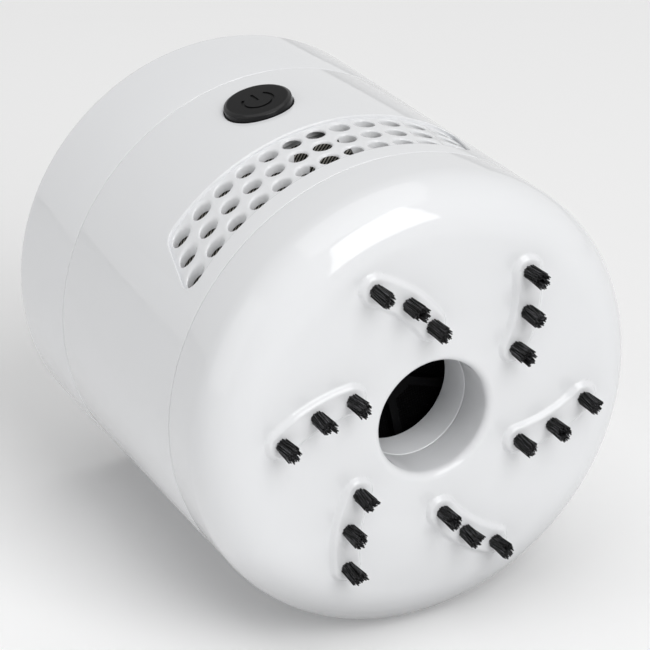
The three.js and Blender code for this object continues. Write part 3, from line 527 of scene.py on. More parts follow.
class ShaderValue:
    """A number in a material. Python's operators on it add Math nodes."""

    def __init__(self, tree, socket):
        self.tree = tree
        self.socket = socket

    def maths(self, operation, *terms):
        return self.tree.node("ShaderNodeMath", {"operation": operation}, dict(enumerate(terms)))

    def __add__(self, other):
        return self.maths("ADD", self, other)

    __radd__ = __add__

    def __sub__(self, other):
        return self.maths("SUBTRACT", self, other)

    def __rsub__(self, other):
        return self.maths("SUBTRACT", other, self)

    def __mul__(self, other):
        return self.maths("MULTIPLY", self, other)

    __rmul__ = __mul__

    def __gt__(self, other):
        return self.maths("GREATER_THAN", self, other)

    def sine(self):
        return self.maths("SINE", self)

    def absolute(self):
        return self.maths("ABSOLUTE", self)

    def larger(self, other):
        return self.maths("MAXIMUM", self, other)

    def smooth_step(self, low, high):
        settings = {"interpolation_type": "SMOOTHSTEP"}
        return self.tree.node(
            "ShaderNodeMapRange", settings, {"Value": self, "From Min": low, "From Max": high},
        )


class NodeTree:
    """A tree of nodes, and the one method that adds them."""

    def __init__(self, holder):
        holder.use_nodes = True
        self.nodes = holder.node_tree.nodes
        self.links = holder.node_tree.links

    def node(self, kind, settings, inputs, output=0):
        """Adds a node: its settings first, then the values or links of its sockets."""
        node = self.nodes.new(kind)
        for name, value in settings.items():
            setattr(node, name, value)
        for key, value in inputs.items():
            self.feed(node.inputs[key], value)
        return ShaderValue(self, node.outputs[output]) if node.outputs else None

    def feed(self, socket, value):
        if isinstance(value, ShaderValue):
            self.links.new(value.socket, socket)
        else:
            socket.default_value = value

    def rays(self, *kinds):
        """What the Light Path node says of the ray that looks."""
        return [self.node("ShaderNodeLightPath", {}, {}, kind) for kind in kinds]


class Surface(NodeTree):
    """A material with one Principled shader, and the nodes that feed it."""

    def __init__(self, name, fixed):
        self.material = bpy.data.materials.new(name)
        super().__init__(self.material)
        self.shader = next(node for node in self.nodes if node.type == "BSDF_PRINCIPLED")
        for socket, value in fixed.items():
            self.drive(socket, value)

    def drive(self, socket, value):
        self.feed(self.shader.inputs[socket], value)

    def point(self, stretch=(1, 1, 1), turn=(0, 0, 0)):
        place = self.node("ShaderNodeTexCoord", {}, {}, "Object")
        return self.node("ShaderNodeMapping", {}, {"Vector": place, "Scale": stretch, "Rotation": turn})

    def axes(self, point):
        """The three coordinates of a point."""
        parts = self.node("ShaderNodeSeparateXYZ", {}, {0: point}).socket.node
        return [ShaderValue(self, socket) for socket in parts.outputs]

    def noise(self, point, size, detail):
        """Even noise from 0 to 1 with patches of about the given size."""
        return self.node("ShaderNodeTexNoise", {}, {"Vector": point, "Scale": 1 / size, "Detail": detail})

    def blend(self, share, low, high):
        """Colour between two colours."""
        settings = {"data_type": "RGBA"}
        return self.node("ShaderNodeMix", settings, {0: share, 6: opaque(low), 7: opaque(high)}, 2)

    def bump(self, height, distance):
        self.drive("Normal", self.node("ShaderNodeBump", {}, {"Height": height, "Distance": distance}))

    def skin(self, colours, tint, rough, relief, depth):
        """What every finish has: tint runs between two colours, and relief has some depth."""
        self.drive("Base Color", self.blend(tint, *colours))
        self.drive("Roughness", rough)
        self.bump(relief, depth)
        return self.material


def opaque(colour):
    """Colour with its alpha."""
    return (*colour, 1)


def grey(value):
    """Neutral colour with its alpha."""
    return (value, value, value, 1)


def shade(colour, factor):
    """Colour made lighter or darker by a factor."""
    return tuple(channel * factor for channel in colour)


def shades(colour, factors):
    """A colour's darker and lighter shade."""
    return [shade(colour, factor) for factor in factors]


def glossy_plastic(name, colour):
    """Polished moulding: clouded a little, with the faint ripple of the mould."""
    surface = Surface(name, {"IOR": PLASTIC_BENDING})
    point = surface.point()
    cloud = surface.noise(point, CLOUD_SIZE, 3)
    handling = surface.noise(point, HANDLING_SIZE, 4)
    ripple = surface.noise(point, RIPPLE_SIZE, 1)
    rough = GLOSSY_ROUGHNESS + cloud * CLOUD_ROUGHNESS + handling * HANDLING_ROUGHNESS
    return surface.skin(shades(colour, CLOUD_SHADES), cloud, rough, ripple, RIPPLE_DEPTH)


def satin_plastic(name, colour, roughness=SATIN_ROUGHNESS, bending=SATIN_BENDING):
    """Spark-eroded moulding: an even fine grain that breaks up the shine."""
    surface = Surface(name, {"IOR": bending})
    point = surface.point()
    cloud = surface.noise(point, SATIN_CLOUD_SIZE, 3)
    grains = surface.noise(point, GRAIN_SIZE, 3)
    rough = roughness + cloud * SATIN_CLOUD_ROUGHNESS + grains * GRAIN_ROUGHNESS
    return surface.skin(shades(colour, GRAIN_SHADES), grains, rough, grains, GRAIN_DEPTH)


def button_rubber(name, colour):
    """Dull fine-grained rubber whose edge is polished by fingers."""
    surface = Surface(name, {"IOR": 1.14, "Coat Roughness": 0.16, "Coat IOR": 1.4})
    point = surface.point()
    grains = surface.noise(point, RUBBER_GRAIN_SIZE, 3)
    centred = surface.node("ShaderNodeMapping", {}, {"Vector": point, "Location": -button_middle})
    off = surface.node("ShaderNodeVectorMath", {"operation": "MULTIPLY"}, {0: centred, 1: (0, 1, 1)})
    radius = surface.node("ShaderNodeVectorMath", {"operation": "LENGTH"}, {0: off}, 1)
    edge = button_high.y - button_middle.y - FLANGE
    surface.drive("Coat Weight", radius.smooth_step(edge - BUTTON_BEVEL / 2, edge) * FINGER_POLISH)
    rough = RUBBER_ROUGHNESS + grains * RUBBER_GRAIN_ROUGHNESS
    return surface.skin(shades(colour, RUBBER_GRAIN_SHADES), grains, rough, grains, RUBBER_GRAIN_DEPTH)


def nylon(name, colour):
    """Black bristle nylon with streaks along each strand in roughness and relief, and lighter streaks painted
    into the colour as painted sheen.
    """
    surface = Surface(name, {"IOR": NYLON_BENDING})
    streaks = surface.noise(surface.point(stretch=STREAK_STRETCH), STREAK_SIZE, 2)
    # painted sheen: where the streaks run high, the colour is painted up to twelve times lighter than the
    # black nylon
    painted_light_and_tone = streaks.smooth_step(*PAINTED_SHEEN_EDGE)
    rough = NYLON_ROUGHNESS + streaks * STREAK_ROUGHNESS
    return surface.skin(shades(colour, PAINTED_SHEEN_SHADES), painted_light_and_tone, rough, streaks, STREAK_DEPTH)


def woven(
    name, thread, pitch, bending, turn=(0, 0, 0), upright=False, gap_share=0.45, dip=0.3, weft_share=1,
):
    """Woven sheet: threads that cross over and under, with holes between them. The holes are painted nearly
    black and the threads painted darker where they dip under or round off, as painted shade; the fuzz is the
    threads' own uneven tone.
    """
    surface = Surface(name, {"IOR": bending})
    first, second, third = surface.axes(surface.point(turn=turn))
    across = second if upright else first
    along = third if upright else second
    wave = math.pi / pitch
    warp = (across * wave).sine().absolute()
    weft = (along * wave).sine().absolute()
    over = (across * (wave / 2)).sine() * (along * (wave / 2)).sine() > 0
    height = (warp * (1 - dip + over * dip)).larger(weft * weft_share * (1 - over * dip))
    threads = height.smooth_step(gap_share, gap_share + THREAD_EDGE)
    fuzz = surface.noise(surface.point(), pitch / 3, 3)
    # painted shade: the colour follows the weave's height, so the holes are nearly black and dipping threads
    # darker; the fuzz is the threads' own uneven tone
    painted_light_and_tone = threads * (THREAD_PALENESS + fuzz * FUZZ_PALENESS)
    rough = GAP_ROUGHNESS - threads * THREAD_POLISH
    return surface.skin(shades(thread, PAINTED_GAP_SHADES), painted_light_and_tone, rough, height, pitch / 4)


def brushed_metal(name, colour, roughness=METAL_ROUGHNESS):
    """Drawn or stamped metal with fine lines one way."""
    surface = Surface(name, {"Metallic": 1.0})
    lines = surface.noise(surface.point(stretch=BRUSHING_STRETCH), BRUSHING_SIZE, 4)
    rough = roughness + lines * BRUSHING_ROUGHNESS
    return surface.skin(shades(colour, BRUSHING_SHADES), lines, rough, lines, BRUSHING_DEPTH)


def soft_plastic(name, colour, roughness):
    """Soft sleeve or rubber with a dull, slightly dusty skin."""
    surface = Surface(name, {"IOR": PLASTIC_BENDING})
    dust = surface.noise(surface.point(), DUST_SIZE, 4)
    rough = roughness + dust * DUST_ROUGHNESS
    return surface.skin(shades(colour, DUST_SHADES), dust, rough, dust, DUST_DEPTH)


def circuit_board(name):
    """Green solder mask over copper tracks, which show paler through it."""
    surface = Surface(name, {"IOR": PLASTIC_BENDING})
    _, across, up = surface.axes(surface.point())
    wander = surface.noise(surface.point(), TRACK_WANDER_SIZE, 1)
    tracks = (across * (FULL_TURN / TRACK_PITCH) + wander * TRACK_WANDER).sine().smooth_step(*TRACK_EDGE)
    rows = (up * (FULL_TURN / TRACK_ROW_PITCH)).sine().smooth_step(*TRACK_ROW_EDGE)
    shown = tracks * rows
    rough = BOARD_ROUGHNESS + wander * BOARD_CLOUD_ROUGHNESS
    return surface.skin((SOLDER_MASK, MASKED_TRACK), shown, rough, shown, TRACK_HEIGHT)


def finish(kind, colours):
    """The material of a kind, made once."""
    name = f"{kind}_finish"
    made = bpy.data.materials.get(name)
    if made:
        return made
    makers = {
        "shell": lambda: glossy_plastic(name, colours.shell),
        # painted light: the cup is the shell's plastic made paler so that the inlet bore looks brighter
        "cup": lambda: glossy_plastic(name, shade(colours.shell, CUP_PAINTED_LIGHT)),
        "inner_plastic": lambda: satin_plastic(name, colours.inner_plastic),
        "button": lambda: button_rubber(name, colours.button),
        "bristle": lambda: nylon(name, colours.bristle),
        "vent_gauze": lambda: woven(
            name, colours.gauze, VENT_GAUZE_PITCH, bending=1.3, turn=RIB_TURN, upright=True,
            gap_share=0.6, dip=0.1, weft_share=0.7,
        ),
        "filter_gauze": lambda: woven(name, colours.filter, FILTER_GAUZE_PITCH, bending=1.1),
        "filter_frame": lambda: satin_plastic(name, colours.filter, roughness=0.45, bending=1.12),
        "black_plastic": lambda: satin_plastic(name, colours.black_plastic),
        "steel": lambda: brushed_metal(name, STEEL),
        "brass": lambda: brushed_metal(name, BRASS),
        "cell_end": lambda: brushed_metal(name, CELL_END, roughness=0.32),
        "band": lambda: brushed_metal(name, CELL_BAND_COPPER, roughness=0.42),
        "wrapper": lambda: soft_plastic(name, colours.wrapper, roughness=0.27),
        "board": lambda: circuit_board(name),
        "rubber": lambda: soft_plastic(name, SEAL_RUBBER, roughness=0.62),
        "red_wire": lambda: soft_plastic(name, RED_WIRE, roughness=0.32),
        "black_wire": lambda: soft_plastic(name, BLACK_WIRE, roughness=0.32),
    }
    return makers[kind]()


# Brush pads and bristles

def tuft_places(pad):
    """Centres of a pad's three tufts."""
    turn = FULL_TURN * pad / PAD_COUNT
    return [around(turn + math.radians(degrees)) * radius for radius, degrees in zip(TUFT_RADII, TUFT_TURNS)]


class PadArc:
    """The arc through a pad's three tufts, and the distance of a point from it."""

    def __init__(self, pad):
        first, middle, last = tuft_places(pad)
        half = (first + last) / 2
        chord = last - first
        side = Vector((-chord.y, chord.x)).normalized()
        bulge = (middle - half).dot(side)
        radius = (chord.length_squared / 4 + bulge ** 2) / (2 * bulge)
        self.centre = half + side * (bulge - radius)
        self.radius = abs(radius)
        self.middle = (middle - self.centre).normalized()
        self.reach = self.middle.angle(first - self.centre)
        self.ends = (first, last)

    def rise(self, point, half_width):
        """Share of the pad's height at a point, which falls off round its edge."""
        way = point - self.centre
        within = way.length > 0 and self.middle.angle(way) <= self.reach
        off = abs(way.length - self.radius) if within else min((point - end).length for end in self.ends)
        share = min(max((off - half_width + PAD_EDGE) / PAD_EDGE, 0), 1)
        return (1 - share * share) ** PAD_FOOT_SHARE


def backing(number):
    """Sector of a ring that holds the tufts of one bristle set, behind the face."""
    first = FULL_TURN * number * PADS_PER_SET / PAD_COUNT
    last = first + FULL_TURN * (PADS_PER_SET - 1) / PAD_COUNT
    start = first + math.radians(min(TUFT_TURNS) - BACKING_MARGIN)
    end = last + math.radians(max(TUFT_TURNS) + BACKING_MARGIN)
    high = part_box(f"bristle_set_{number + 1}")[1].z
    low = high - BACKING_THICKNESS
    corners = ((BACKING_INNER, low), (BACKING_OUTER, low), (BACKING_OUTER, high), (BACKING_INNER, high))
    mesh = bmesh.new()
    face = mesh.faces.new([
        mesh.verts.new((radius * math.cos(start), radius * math.sin(start), height))
        for radius, height in corners
    ])
    bmesh.ops.spin(
        mesh, geom=[face], cent=(0, 0, 0), axis=(0, 0, 1), angle=end - start, steps=SMALL_STEPS // 2,
    )
    bmesh.ops.recalc_face_normals(mesh, faces=mesh.faces)
    return mesh


def add_tuft(mesh, place, seed, sizes):
    """Strands that spread a little from root to tip, each cut at its own height."""
    twist = Matrix.Rotation(TUFT_TWIST * math.sin(TWIST_PER_TUFT * seed), 2)
    for strand in range(sizes.strands_per_tuft):
        share = math.sqrt((strand + 0.5) / sizes.strands_per_tuft)
        foot = around(strand * GOLDEN_ANGLE + seed) * share * (sizes.tuft_radius - sizes.strand_radius)
        step = (seed * STEP_PER_TUFT + strand * STEP_PER_STRAND) % 1
        lean = around(LEAN_TURNS * step * FULL_TURN) * STRAND_LEAN
        tip = twist @ foot * TIP_SPREAD + lean
        low = Vector((place.x + tip.x, place.y + tip.y, step * TIP_STEP))
        high = Vector((place.x + foot.x, place.y + foot.y, sizes.face_height))
        way = high - low
        bmesh.ops.create_cone(
            mesh, cap_ends=True, segments=STRAND_SIDES, radius1=sizes.strand_radius * STRAND_TAPER,
            radius2=sizes.strand_radius, depth=way.length,
            matrix=Matrix.Translation((low + high) / 2) @ pointing(way, "Z"),
        )


# Vent panel, button and screws

def panel_outline(sizes, grow):
    """Slanted vent panel's outline (across, up), grown outwards."""
    half_height = (VENT_ROWS - 1) / 2 * sizes.vent_row_pitch + VENT_MARGIN
    stretch = math.hypot(1, VENT_SLANT_SHARE)
    half_length = (VENT_COLUMNS - 1) / 2 * sizes.vent_pitch + VENT_MARGIN * stretch
    tall = half_height + grow
    long = half_length + grow * stretch
    points = rounded([
        (along * long + up * tall * VENT_SLANT_SHARE, sizes.vent_height + up * tall, VENT_CORNER + grow)
        for along, up in ((-1, -1), (1, -1), (1, 1), (-1, 1))
    ])
    counts = [round((2 * half - 2 * VENT_CORNER) / OUTLINE_SPACING) for half in (half_length, half_height)]
    per_corner = CORNER_SEGMENTS + 1
    outline = []
    for index, point in enumerate(points):
        outline.append(point)
        if index % per_corner == per_corner - 1:
            following = points[(index + 1) % len(points)]
            count = counts[(index // per_corner) % 2]
            outline += [point.lerp(following, step / count) for step in range(1, count)]
    return outline


def button_outline(radius):
    """Circle (across, up) round the button's middle."""
    return arc(button_middle.y, button_middle.z, radius, 0, 360, SMALL_STEPS)[:-1]


def sunk_rim(outline, rim, depth, radius):
    """Rounded edge of a sunken shape and the wall below it, bent on to the drum."""
    mesh = bmesh.new()
    angles = [math.pi / 2 * step / RIM_SEGMENTS for step in range(RIM_SEGMENTS + 1)]
    levels = [(rim - rim * math.sin(angle), rim * math.cos(angle) - rim) for angle in angles]
    verts = [mesh.verts.new((point.x, point.y, 0)) for point in outline(rim)]
    edges = [mesh.edges.new(pair) for pair in zip(verts, verts[1:] + verts[:1])]
    for grow, out in [*levels[1:], (0, -depth)]:
        grown = bmesh.ops.extrude_edge_only(mesh, edges=edges)["geom"]
        edges = picked(grown, bmesh.types.BMEdge)
        below = {
            vert: new for new in picked(grown, bmesh.types.BMVert)
            for edge in new.link_edges for vert in edge.verts if vert in verts
        }
        verts = [below[vert] for vert in verts]
        for vert, point in zip(verts, outline(grow)):
            vert.co = (point.x, point.y, out)
    onto_drum(mesh, radius)
    middle = sum((vert.co for vert in mesh.verts), Vector()) / len(mesh.verts)
    face_towards(mesh, Vector((radius, middle.y, middle.z)))
    return mesh


def on_tile(edge, column, row):
    """Whether an edge lies on the border of a lattice tile."""
    middle = (edge.verts[0].co + edge.verts[1].co) / 2
    reach = max(abs(middle.x - column), abs(middle.y - row))
    return abs(reach - 0.5) < TILE_TOLERANCE


def vent_lattice():
    """Flat grid of edges with one unit tile for each hole, and the tiles as (column, row, border)."""
    mesh = bmesh.new()
    bmesh.ops.create_grid(mesh, x_segments=VENT_COLUMNS, y_segments=VENT_ROWS, size=0.5)
    bmesh.ops.delete(mesh, geom=mesh.faces[:], context="FACES_ONLY")
    bmesh.ops.subdivide_edges(mesh, edges=mesh.edges[:], cuts=HOLE_SEGMENTS_PER_SIDE - 1)
    bmesh.ops.scale(mesh, vec=(VENT_COLUMNS, VENT_ROWS, 1), verts=mesh.verts)
    tiles = [
        (column, row, [edge for edge in mesh.edges if on_tile(edge, column, row)])
        for column in half_steps(VENT_COLUMNS) for row in half_steps(VENT_ROWS)
    ]
    return mesh, tiles


def vent_panel(sizes):
    """Sunken plate with rows of round holes, each with a rounded rim, and a thin stretch near the button."""
    mesh, tiles = vent_lattice()
    for vert in mesh.verts:
        across = vert.co.x * sizes.vent_pitch
        up = vert.co.y * sizes.vent_row_pitch
        if abs(vert.co.x) > VENT_COLUMNS / 2 - TILE_TOLERANCE:
            across += math.copysign(VENT_BORDER, across)
        if abs(vert.co.y) > VENT_ROWS / 2 - TILE_TOLERANCE:
            up += math.copysign(VENT_BORDER, up)
        vert.co = (across + up * VENT_SLANT_SHARE, up, 0)
    first_corner = Matrix.Rotation(math.radians(45), 4, "Z")
    rims = []
    for column, row, border in tiles:
        up = row * sizes.vent_row_pitch
        hole = Matrix.Translation((column * sizes.vent_pitch + up * VENT_SLANT_SHARE, up, 0))
        ring = bmesh.ops.create_circle(
            mesh, segments=4 * HOLE_SEGMENTS_PER_SIDE, radius=sizes.vent_hole_radius,
            matrix=hole @ first_corner,
        )["verts"]
        rim = list(dict.fromkeys(edge for vert in ring for edge in vert.link_edges))
        bmesh.ops.translate(mesh, vec=(0, 0, BRIDGE_LIFT), verts=ring)
        bmesh.ops.bridge_loops(mesh, edges=border + rim)
        bmesh.ops.translate(mesh, vec=(0, 0, -BRIDGE_LIFT), verts=ring)
        rims.append(rim)
    copy = bmesh.ops.duplicate(mesh, geom=mesh.verts[:] + mesh.edges[:] + mesh.faces[:])
    for vert in picked(copy["geom"], bmesh.types.BMVert):
        thin = THIN_START < vert.co.x < THIN_END
        vert.co.z = -THIN_WALL if thin else sizes.vent_depth - sizes.wall
    for rim in rims:
        bmesh.ops.bridge_loops(mesh, edges=rim + [copy["edge_map"][edge] for edge in rim])
    bmesh.ops.bridge_loops(mesh, edges=[edge for edge in mesh.edges if edge.is_boundary])
    bmesh.ops.recalc_face_normals(mesh, faces=mesh.faces)
    bmesh.ops.bevel(
        mesh, geom=[edge for rim in rims for edge in rim], offset=VENT_HOLE_RIM, segments=RIM_SEGMENTS,
        profile=0.5, affect="EDGES", material=-1,
    )
    bmesh.ops.translate(mesh, vec=(0, sizes.vent_height, -sizes.vent_depth), verts=mesh.verts)
    onto_drum(mesh, sizes.drum_radius)
    return mesh


def power_sign(front):
    """Cutters for the generic power sign: a bar and an open ring."""
    middle = Vector((button_middle.y, button_middle.z - SIGN_DROP))
    half = SIGN_WIDTH / 2
    start, end = 90 + SIGN_HALF_GAP, 450 - SIGN_HALF_GAP
    ring = [
        *arc(middle.x, middle.y, SIGN_RADIUS + half, start, end, SMALL_STEPS // 2),
        *arc(middle.x, middle.y, SIGN_RADIUS - half, end, start, SMALL_STEPS // 2),
    ]
    bar = [
        middle + Vector(corner)
        for corner in ((-half, 0), (half, 0), (half, SIGN_RADIUS), (-half, SIGN_RADIUS))
    ]
    return [prism_along_x(outline, front - SIGN_DEPTH, front + CUTTER_OVERRUN) for outline in (ring, bar)]


def screw_profile(length):
    """Half outline (radius, height) of a screw whose head lies at the bottom."""
    return rounded([
        (0, 0, 0),
        (SCREW_HEAD_RADIUS, 0, SCREW_HEAD_DOME),
        (SCREW_HEAD_RADIUS, SCREW_HEAD_HEIGHT, SCREW_HEAD_EDGE),
        (SCREW_RADIUS, SCREW_HEAD_HEIGHT, 0),
        (SCREW_RADIUS, length, SCREW_POINT),
        (0, length, 0),
    ], False)


def cross_recess():
    """Cutters for the cross in a screw's head."""
    bars = []
    for across, along in ((RECESS_LENGTH, RECESS_WIDTH), (RECESS_WIDTH, RECESS_LENGTH)):
        mesh = bmesh.new()
        bmesh.ops.create_cube(mesh, size=1, matrix=Matrix.Diagonal((across, along, 2 * RECESS_DEPTH, 1)))
        bars.append(mesh)
    return bars


# Stage

def direction(azimuth, elevation):
    """Unit vector from the object, azimuth from +X towards +Y."""
    turn, rise = math.radians(azimuth), math.radians(elevation)
    return Vector((math.cos(rise) * math.cos(turn), math.cos(rise) * math.sin(turn), math.sin(rise)))


def pointing(way, axis):
    """Turn that points an object's own axis along a way."""
    return way.to_track_quat(axis, "Y").to_matrix().to_4x4()


def looking_back(aim, way, distance, roll):
    """Place of a lamp or camera that looks at a point from some way off, turned about its own view."""
    turn = pointing(-way, "-Z") @ Matrix.Rotation(math.radians(roll), 4, "Z")
    return Matrix.Translation(Vector(aim) + way * distance) @ turn


def lay_floor(stage, radius):
    """Pale floor that the drum lies on, seen from above only and open to light where they touch."""
    up = direction(FLOOR_AZIMUTH, 0)
    place = Matrix.Translation(-up * radius) @ pointing(up, "Z")
    mesh = bmesh.new()
    bmesh.ops.create_grid(mesh, x_segments=1, y_segments=1, size=FLOOR_SIZE / 2, matrix=place)
    floor = new_object("floor", mesh)
    material = bpy.data.materials.new("floor_finish")
    tree = NodeTree(material)
    tree.nodes.clear()
    pale = tree.node("ShaderNodeBsdfDiffuse", {}, {"Color": grey(stage.floor)})
    clear = tree.node("ShaderNodeBsdfTransparent", {}, {})
    underside = tree.node("ShaderNodeNewGeometry", {}, {}, "Backfacing")
    shadow, diffuse, length = tree.rays("Is Shadow Ray", "Is Diffuse Ray", "Ray Length")
    contact = diffuse * (1 - (length > FLOOR_CONTACT))
    passing = underside.larger(shadow).larger(contact)
    finished = tree.node("ShaderNodeMixShader", {}, {0: passing, 1: pale, 2: clear})
    tree.node("ShaderNodeOutputMaterial", {}, {"Surface": finished})
    floor.data.materials.append(material)


def light_surround(stage):
    """Even light from all sides, and the floor's own paleness where nothing stands."""
    world = bpy.data.worlds.new("studio")
    bpy.context.scene.world = world
    tree = NodeTree(world)
    tree.nodes.clear()
    light = tree.node("ShaderNodeBackground", {}, {"Color": grey(1), "Strength": stage.surround})
    seen = tree.node("ShaderNodeBackground", {}, {"Color": grey(stage.background)})
    looking, shining, passing = tree.rays("Is Camera Ray", "Is Glossy Ray", "Is Transmission Ray")
    direct = looking.larger(shining).larger(passing)
    finished = tree.node("ShaderNodeMixShader", {}, {0: direct, 1: light, 2: seen})
    tree.node("ShaderNodeOutputWorld", {}, {"Surface": finished})


def hang_lamp(name, way, distance, width, length, brightness, roll=0):
    """Rectangular lamp that faces the object and looks as bright as its brightness says."""
    lamp = bpy.data.lights.new(name, "AREA")
    lamp.shape = "RECTANGLE"
    lamp.size, lamp.size_y = width, length
    lamp.energy = brightness * math.pi * width * length
    add_object(name, lamp).matrix_world = looking_back((0, 0, 0), way, distance, roll)


def hang_lamps(stage):
    """Softbox in front of the brush face, a wide lamp above the floor and a weaker one beside the drum."""
    front = direction(SOFTBOX_AZIMUTH, SOFTBOX_ELEVATION)
    above = direction(FLOOR_AZIMUTH, 0)
    beside = direction(SIDE_AZIMUTH, 0)
    hang_lamp("softbox", front, SOFTBOX_DISTANCE, SOFTBOX_WIDTH, SOFTBOX_LENGTH, stage.softbox, SOFTBOX_TURN)
    hang_lamp("overhead", above, OVERHEAD_DISTANCE, OVERHEAD_SIZE, OVERHEAD_SIZE, stage.overhead)
    hang_lamp("side", beside, SIDE_DISTANCE, SIDE_SIZE, SIDE_SIZE, stage.side)


def set_camera(stage):
    """Camera at the photograph's place, turned about its own view."""
    data = bpy.data.cameras.new("camera")
    data.lens = stage.lens
    data.sensor_width = SENSOR_WIDTH
    data.clip_start, data.clip_end = NEAREST_SEEN, FARTHEST_SEEN
    camera = add_object("camera", data)
    way = direction(CAMERA_AZIMUTH, CAMERA_ELEVATION)
    camera.matrix_world = looking_back(CAMERA_AIM, way, CAMERA_DISTANCE, CAMERA_ROLL)
    bpy.context.scene.camera = camera


# Operators

def settings(context):
    """The sizes and colours that the user has set."""
    return context.scene.cleaner_sizes, context.scene.cleaner_colours


class CLEANER_OT_main_body(bpy.types.Operator):
    """Build the main body with its sunken vent panel and the button's pocket"""

    bl_idname = "cleaner.main_body"
    bl_label = "Main Body"

    def execute(self, context):
        sizes, colours = settings(context)
        radius = sizes.drum_radius
        inner = radius - sizes.wall
        small = sizes.edge_rounding
        bottom = cup_high.z + SEAM_ABOVE_CUP + sizes.seam_width / 2
        top = cap_low.z - CLEARANCE / 2 - sizes.seam_width / 2
        spigot = inner - CLEARANCE
        spigot_inner = spigot - SPIGOT_WALL
        seat = tray_low.z - CLEARANCE
        shelf = deck_high.z + CLEARANCE
        profile = rounded([
            (inner, bottom, small),
            (radius, bottom, small),
            (radius, top, small),
            (spigot, top, 0),
            (spigot, body_high.z, small),
            (spigot_inner, body_high.z, small),
            (spigot_inner, seat, 0),
            (spigot_inner - TRAY_SEAT, seat, small),
            (spigot_inner - TRAY_SEAT, seat - LEDGE, small),
            (inner, seat - LEDGE - TRAY_SEAT - SPIGOT_WALL, 0),
            (inner, shelf + LEDGE + SHELF_WIDTH, 0),
            (inner - SHELF_WIDTH, shelf + LEDGE, small),
            (inner - SHELF_WIDTH, shelf, small),
            (inner, shelf, 0),
        ])
        piece = new_object("body_shell", turned(profile, WALL_STEPS))
        pocket = sizes.button_radius + BUTTON_GAP
        openings = (panel_outline(sizes, VENT_RIM), button_outline(pocket + BUTTON_RIM))
        cut_out(piece, [prism_along_x(outline, inner / 2, radius + CUTTER_OVERRUN) for outline in openings])
        vent_wall = sizes.vent_depth + VENT_WALL_OVERLAP
        join_in(piece, [
            vent_panel(sizes),
            sunk_rim(lambda grow: panel_outline(sizes, grow), VENT_RIM, vent_wall, radius),
            sunk_rim(lambda grow: button_outline(pocket + grow), BUTTON_RIM, sizes.wall, radius),
        ])
        finish_piece(piece, "housing", [finish("shell", colours)], "main_body")
        return {"FINISHED"}


class CLEANER_OT_bottom_cover(bpy.types.Operator):
    """Build the bottom cover with its brush pads"""

    bl_idname = "cleaner.bottom_cover"
    bl_label = "Bottom Cover"

    def execute(self, context):
        sizes, colours = settings(context)
        radius = sizes.drum_radius
        small = sizes.edge_rounding
        edge = sizes.cover_edge
        lip = sizes.inlet_lip
        inlet = sizes.inlet_radius
        face = sizes.face_height
        face_inside = face + sizes.wall
        inner = radius - sizes.wall
        seam = cup_high.z + SEAM_ABOVE_CUP - sizes.seam_width / 2
        spigot = inner - CLEARANCE
        spigot_inner = spigot - SPIGOT_WALL
        spigot_root = seam - SPIGOT_ROOT_DROP
        groove = spigot - GROOVE_DEPTH
        groove_middle = (seam + cover_high.z) / 2
        groove_low = groove_middle - GROOVE_WIDTH / 2
        groove_high = groove_middle + GROOVE_WIDTH / 2
        collar = inlet + COLLAR_WALL
        collar_top = cup_low.z - sizes.seam_width
        rings = evenly(radius - edge, inlet + lip, FACE_RING_SPACING)
        profile = [
            *rounded([(inner, seam, 0), (radius, seam, small), (radius, face + edge, 0)], False),
            *arc(radius - edge, face + edge, edge, 0, -90, EDGE_SEGMENTS)[1:],
            *[Vector((ring, face)) for ring in rings[1:]],
            *arc(inlet + lip, face + lip, lip, 270, 180, LIP_SEGMENTS),
            *rounded([
                (inlet, face_inside, 0),
                (inlet, collar_top, small),
                (collar, collar_top, small),
                (collar, face_inside, small),
                (inner, face_inside, edge - sizes.wall),
                (inner, spigot_root - SPIGOT_WALL, 0),
                (spigot_inner, spigot_root, 0),
                (spigot_inner, cover_high.z, small),
                (spigot, cover_high.z, small),
                (spigot, groove_high, 0),
                (groove, groove_high, 0),
                (groove, groove_low, 0),
                (spigot, groove_low, 0),
                (spigot, seam, 0),
            ], False),
        ][1:]
        mesh = turned(profile, FACE_STEPS)
        pads = [PadArc(pad) for pad in range(PAD_COUNT)]
        for vert in mesh.verts:
            place = vert.co.xy
            if vert.co.z < face + PAD_ZONE and place.length > inlet + lip / 2:
                vert.co.z -= sizes.pad_height * max(pad.rise(place, sizes.pad_half_width) for pad in pads)
        piece = new_object("cover_shell", mesh)
        finish_piece(piece, "cover", [finish("shell", colours)], "bottom_cover")
        return {"FINISHED"}


class CLEANER_OT_dust_cup(bpy.types.Operator):
    """Build the dust cup with its inlet tube"""

    bl_idname = "cleaner.dust_cup"
    bl_label = "Dust Cup"

    def execute(self, context):
        sizes, colours = settings(context)
        small = sizes.edge_rounding
        inlet = sizes.inlet_radius
        tube = inlet + TUBE_WALL
        tube_top = cup_high.z - TUBE_DROP
        outer = cup_high.y
        inner = outer - CUP_WALL
        floor_top = cup_low.z + CUP_WALL
        profile = rounded([
            (inlet, cup_low.z, small),
            (outer, cup_low.z, 2 * small),
            (outer, cup_high.z, small),
            (inner, cup_high.z, small),
            (inner, floor_top, 2 * small),
            (tube, floor_top, 2 * small),
            (tube, tube_top, small),
            (inlet, tube_top, small),
        ])
        piece = new_object("cup_shell", turned(profile, FACE_STEPS // 2))
        # the cup's finish is the shell's plastic made paler: painted light in the inlet bore
        finish_piece(piece, "cover", [finish("cup", colours)], "dust_cup")
        return {"FINISHED"}


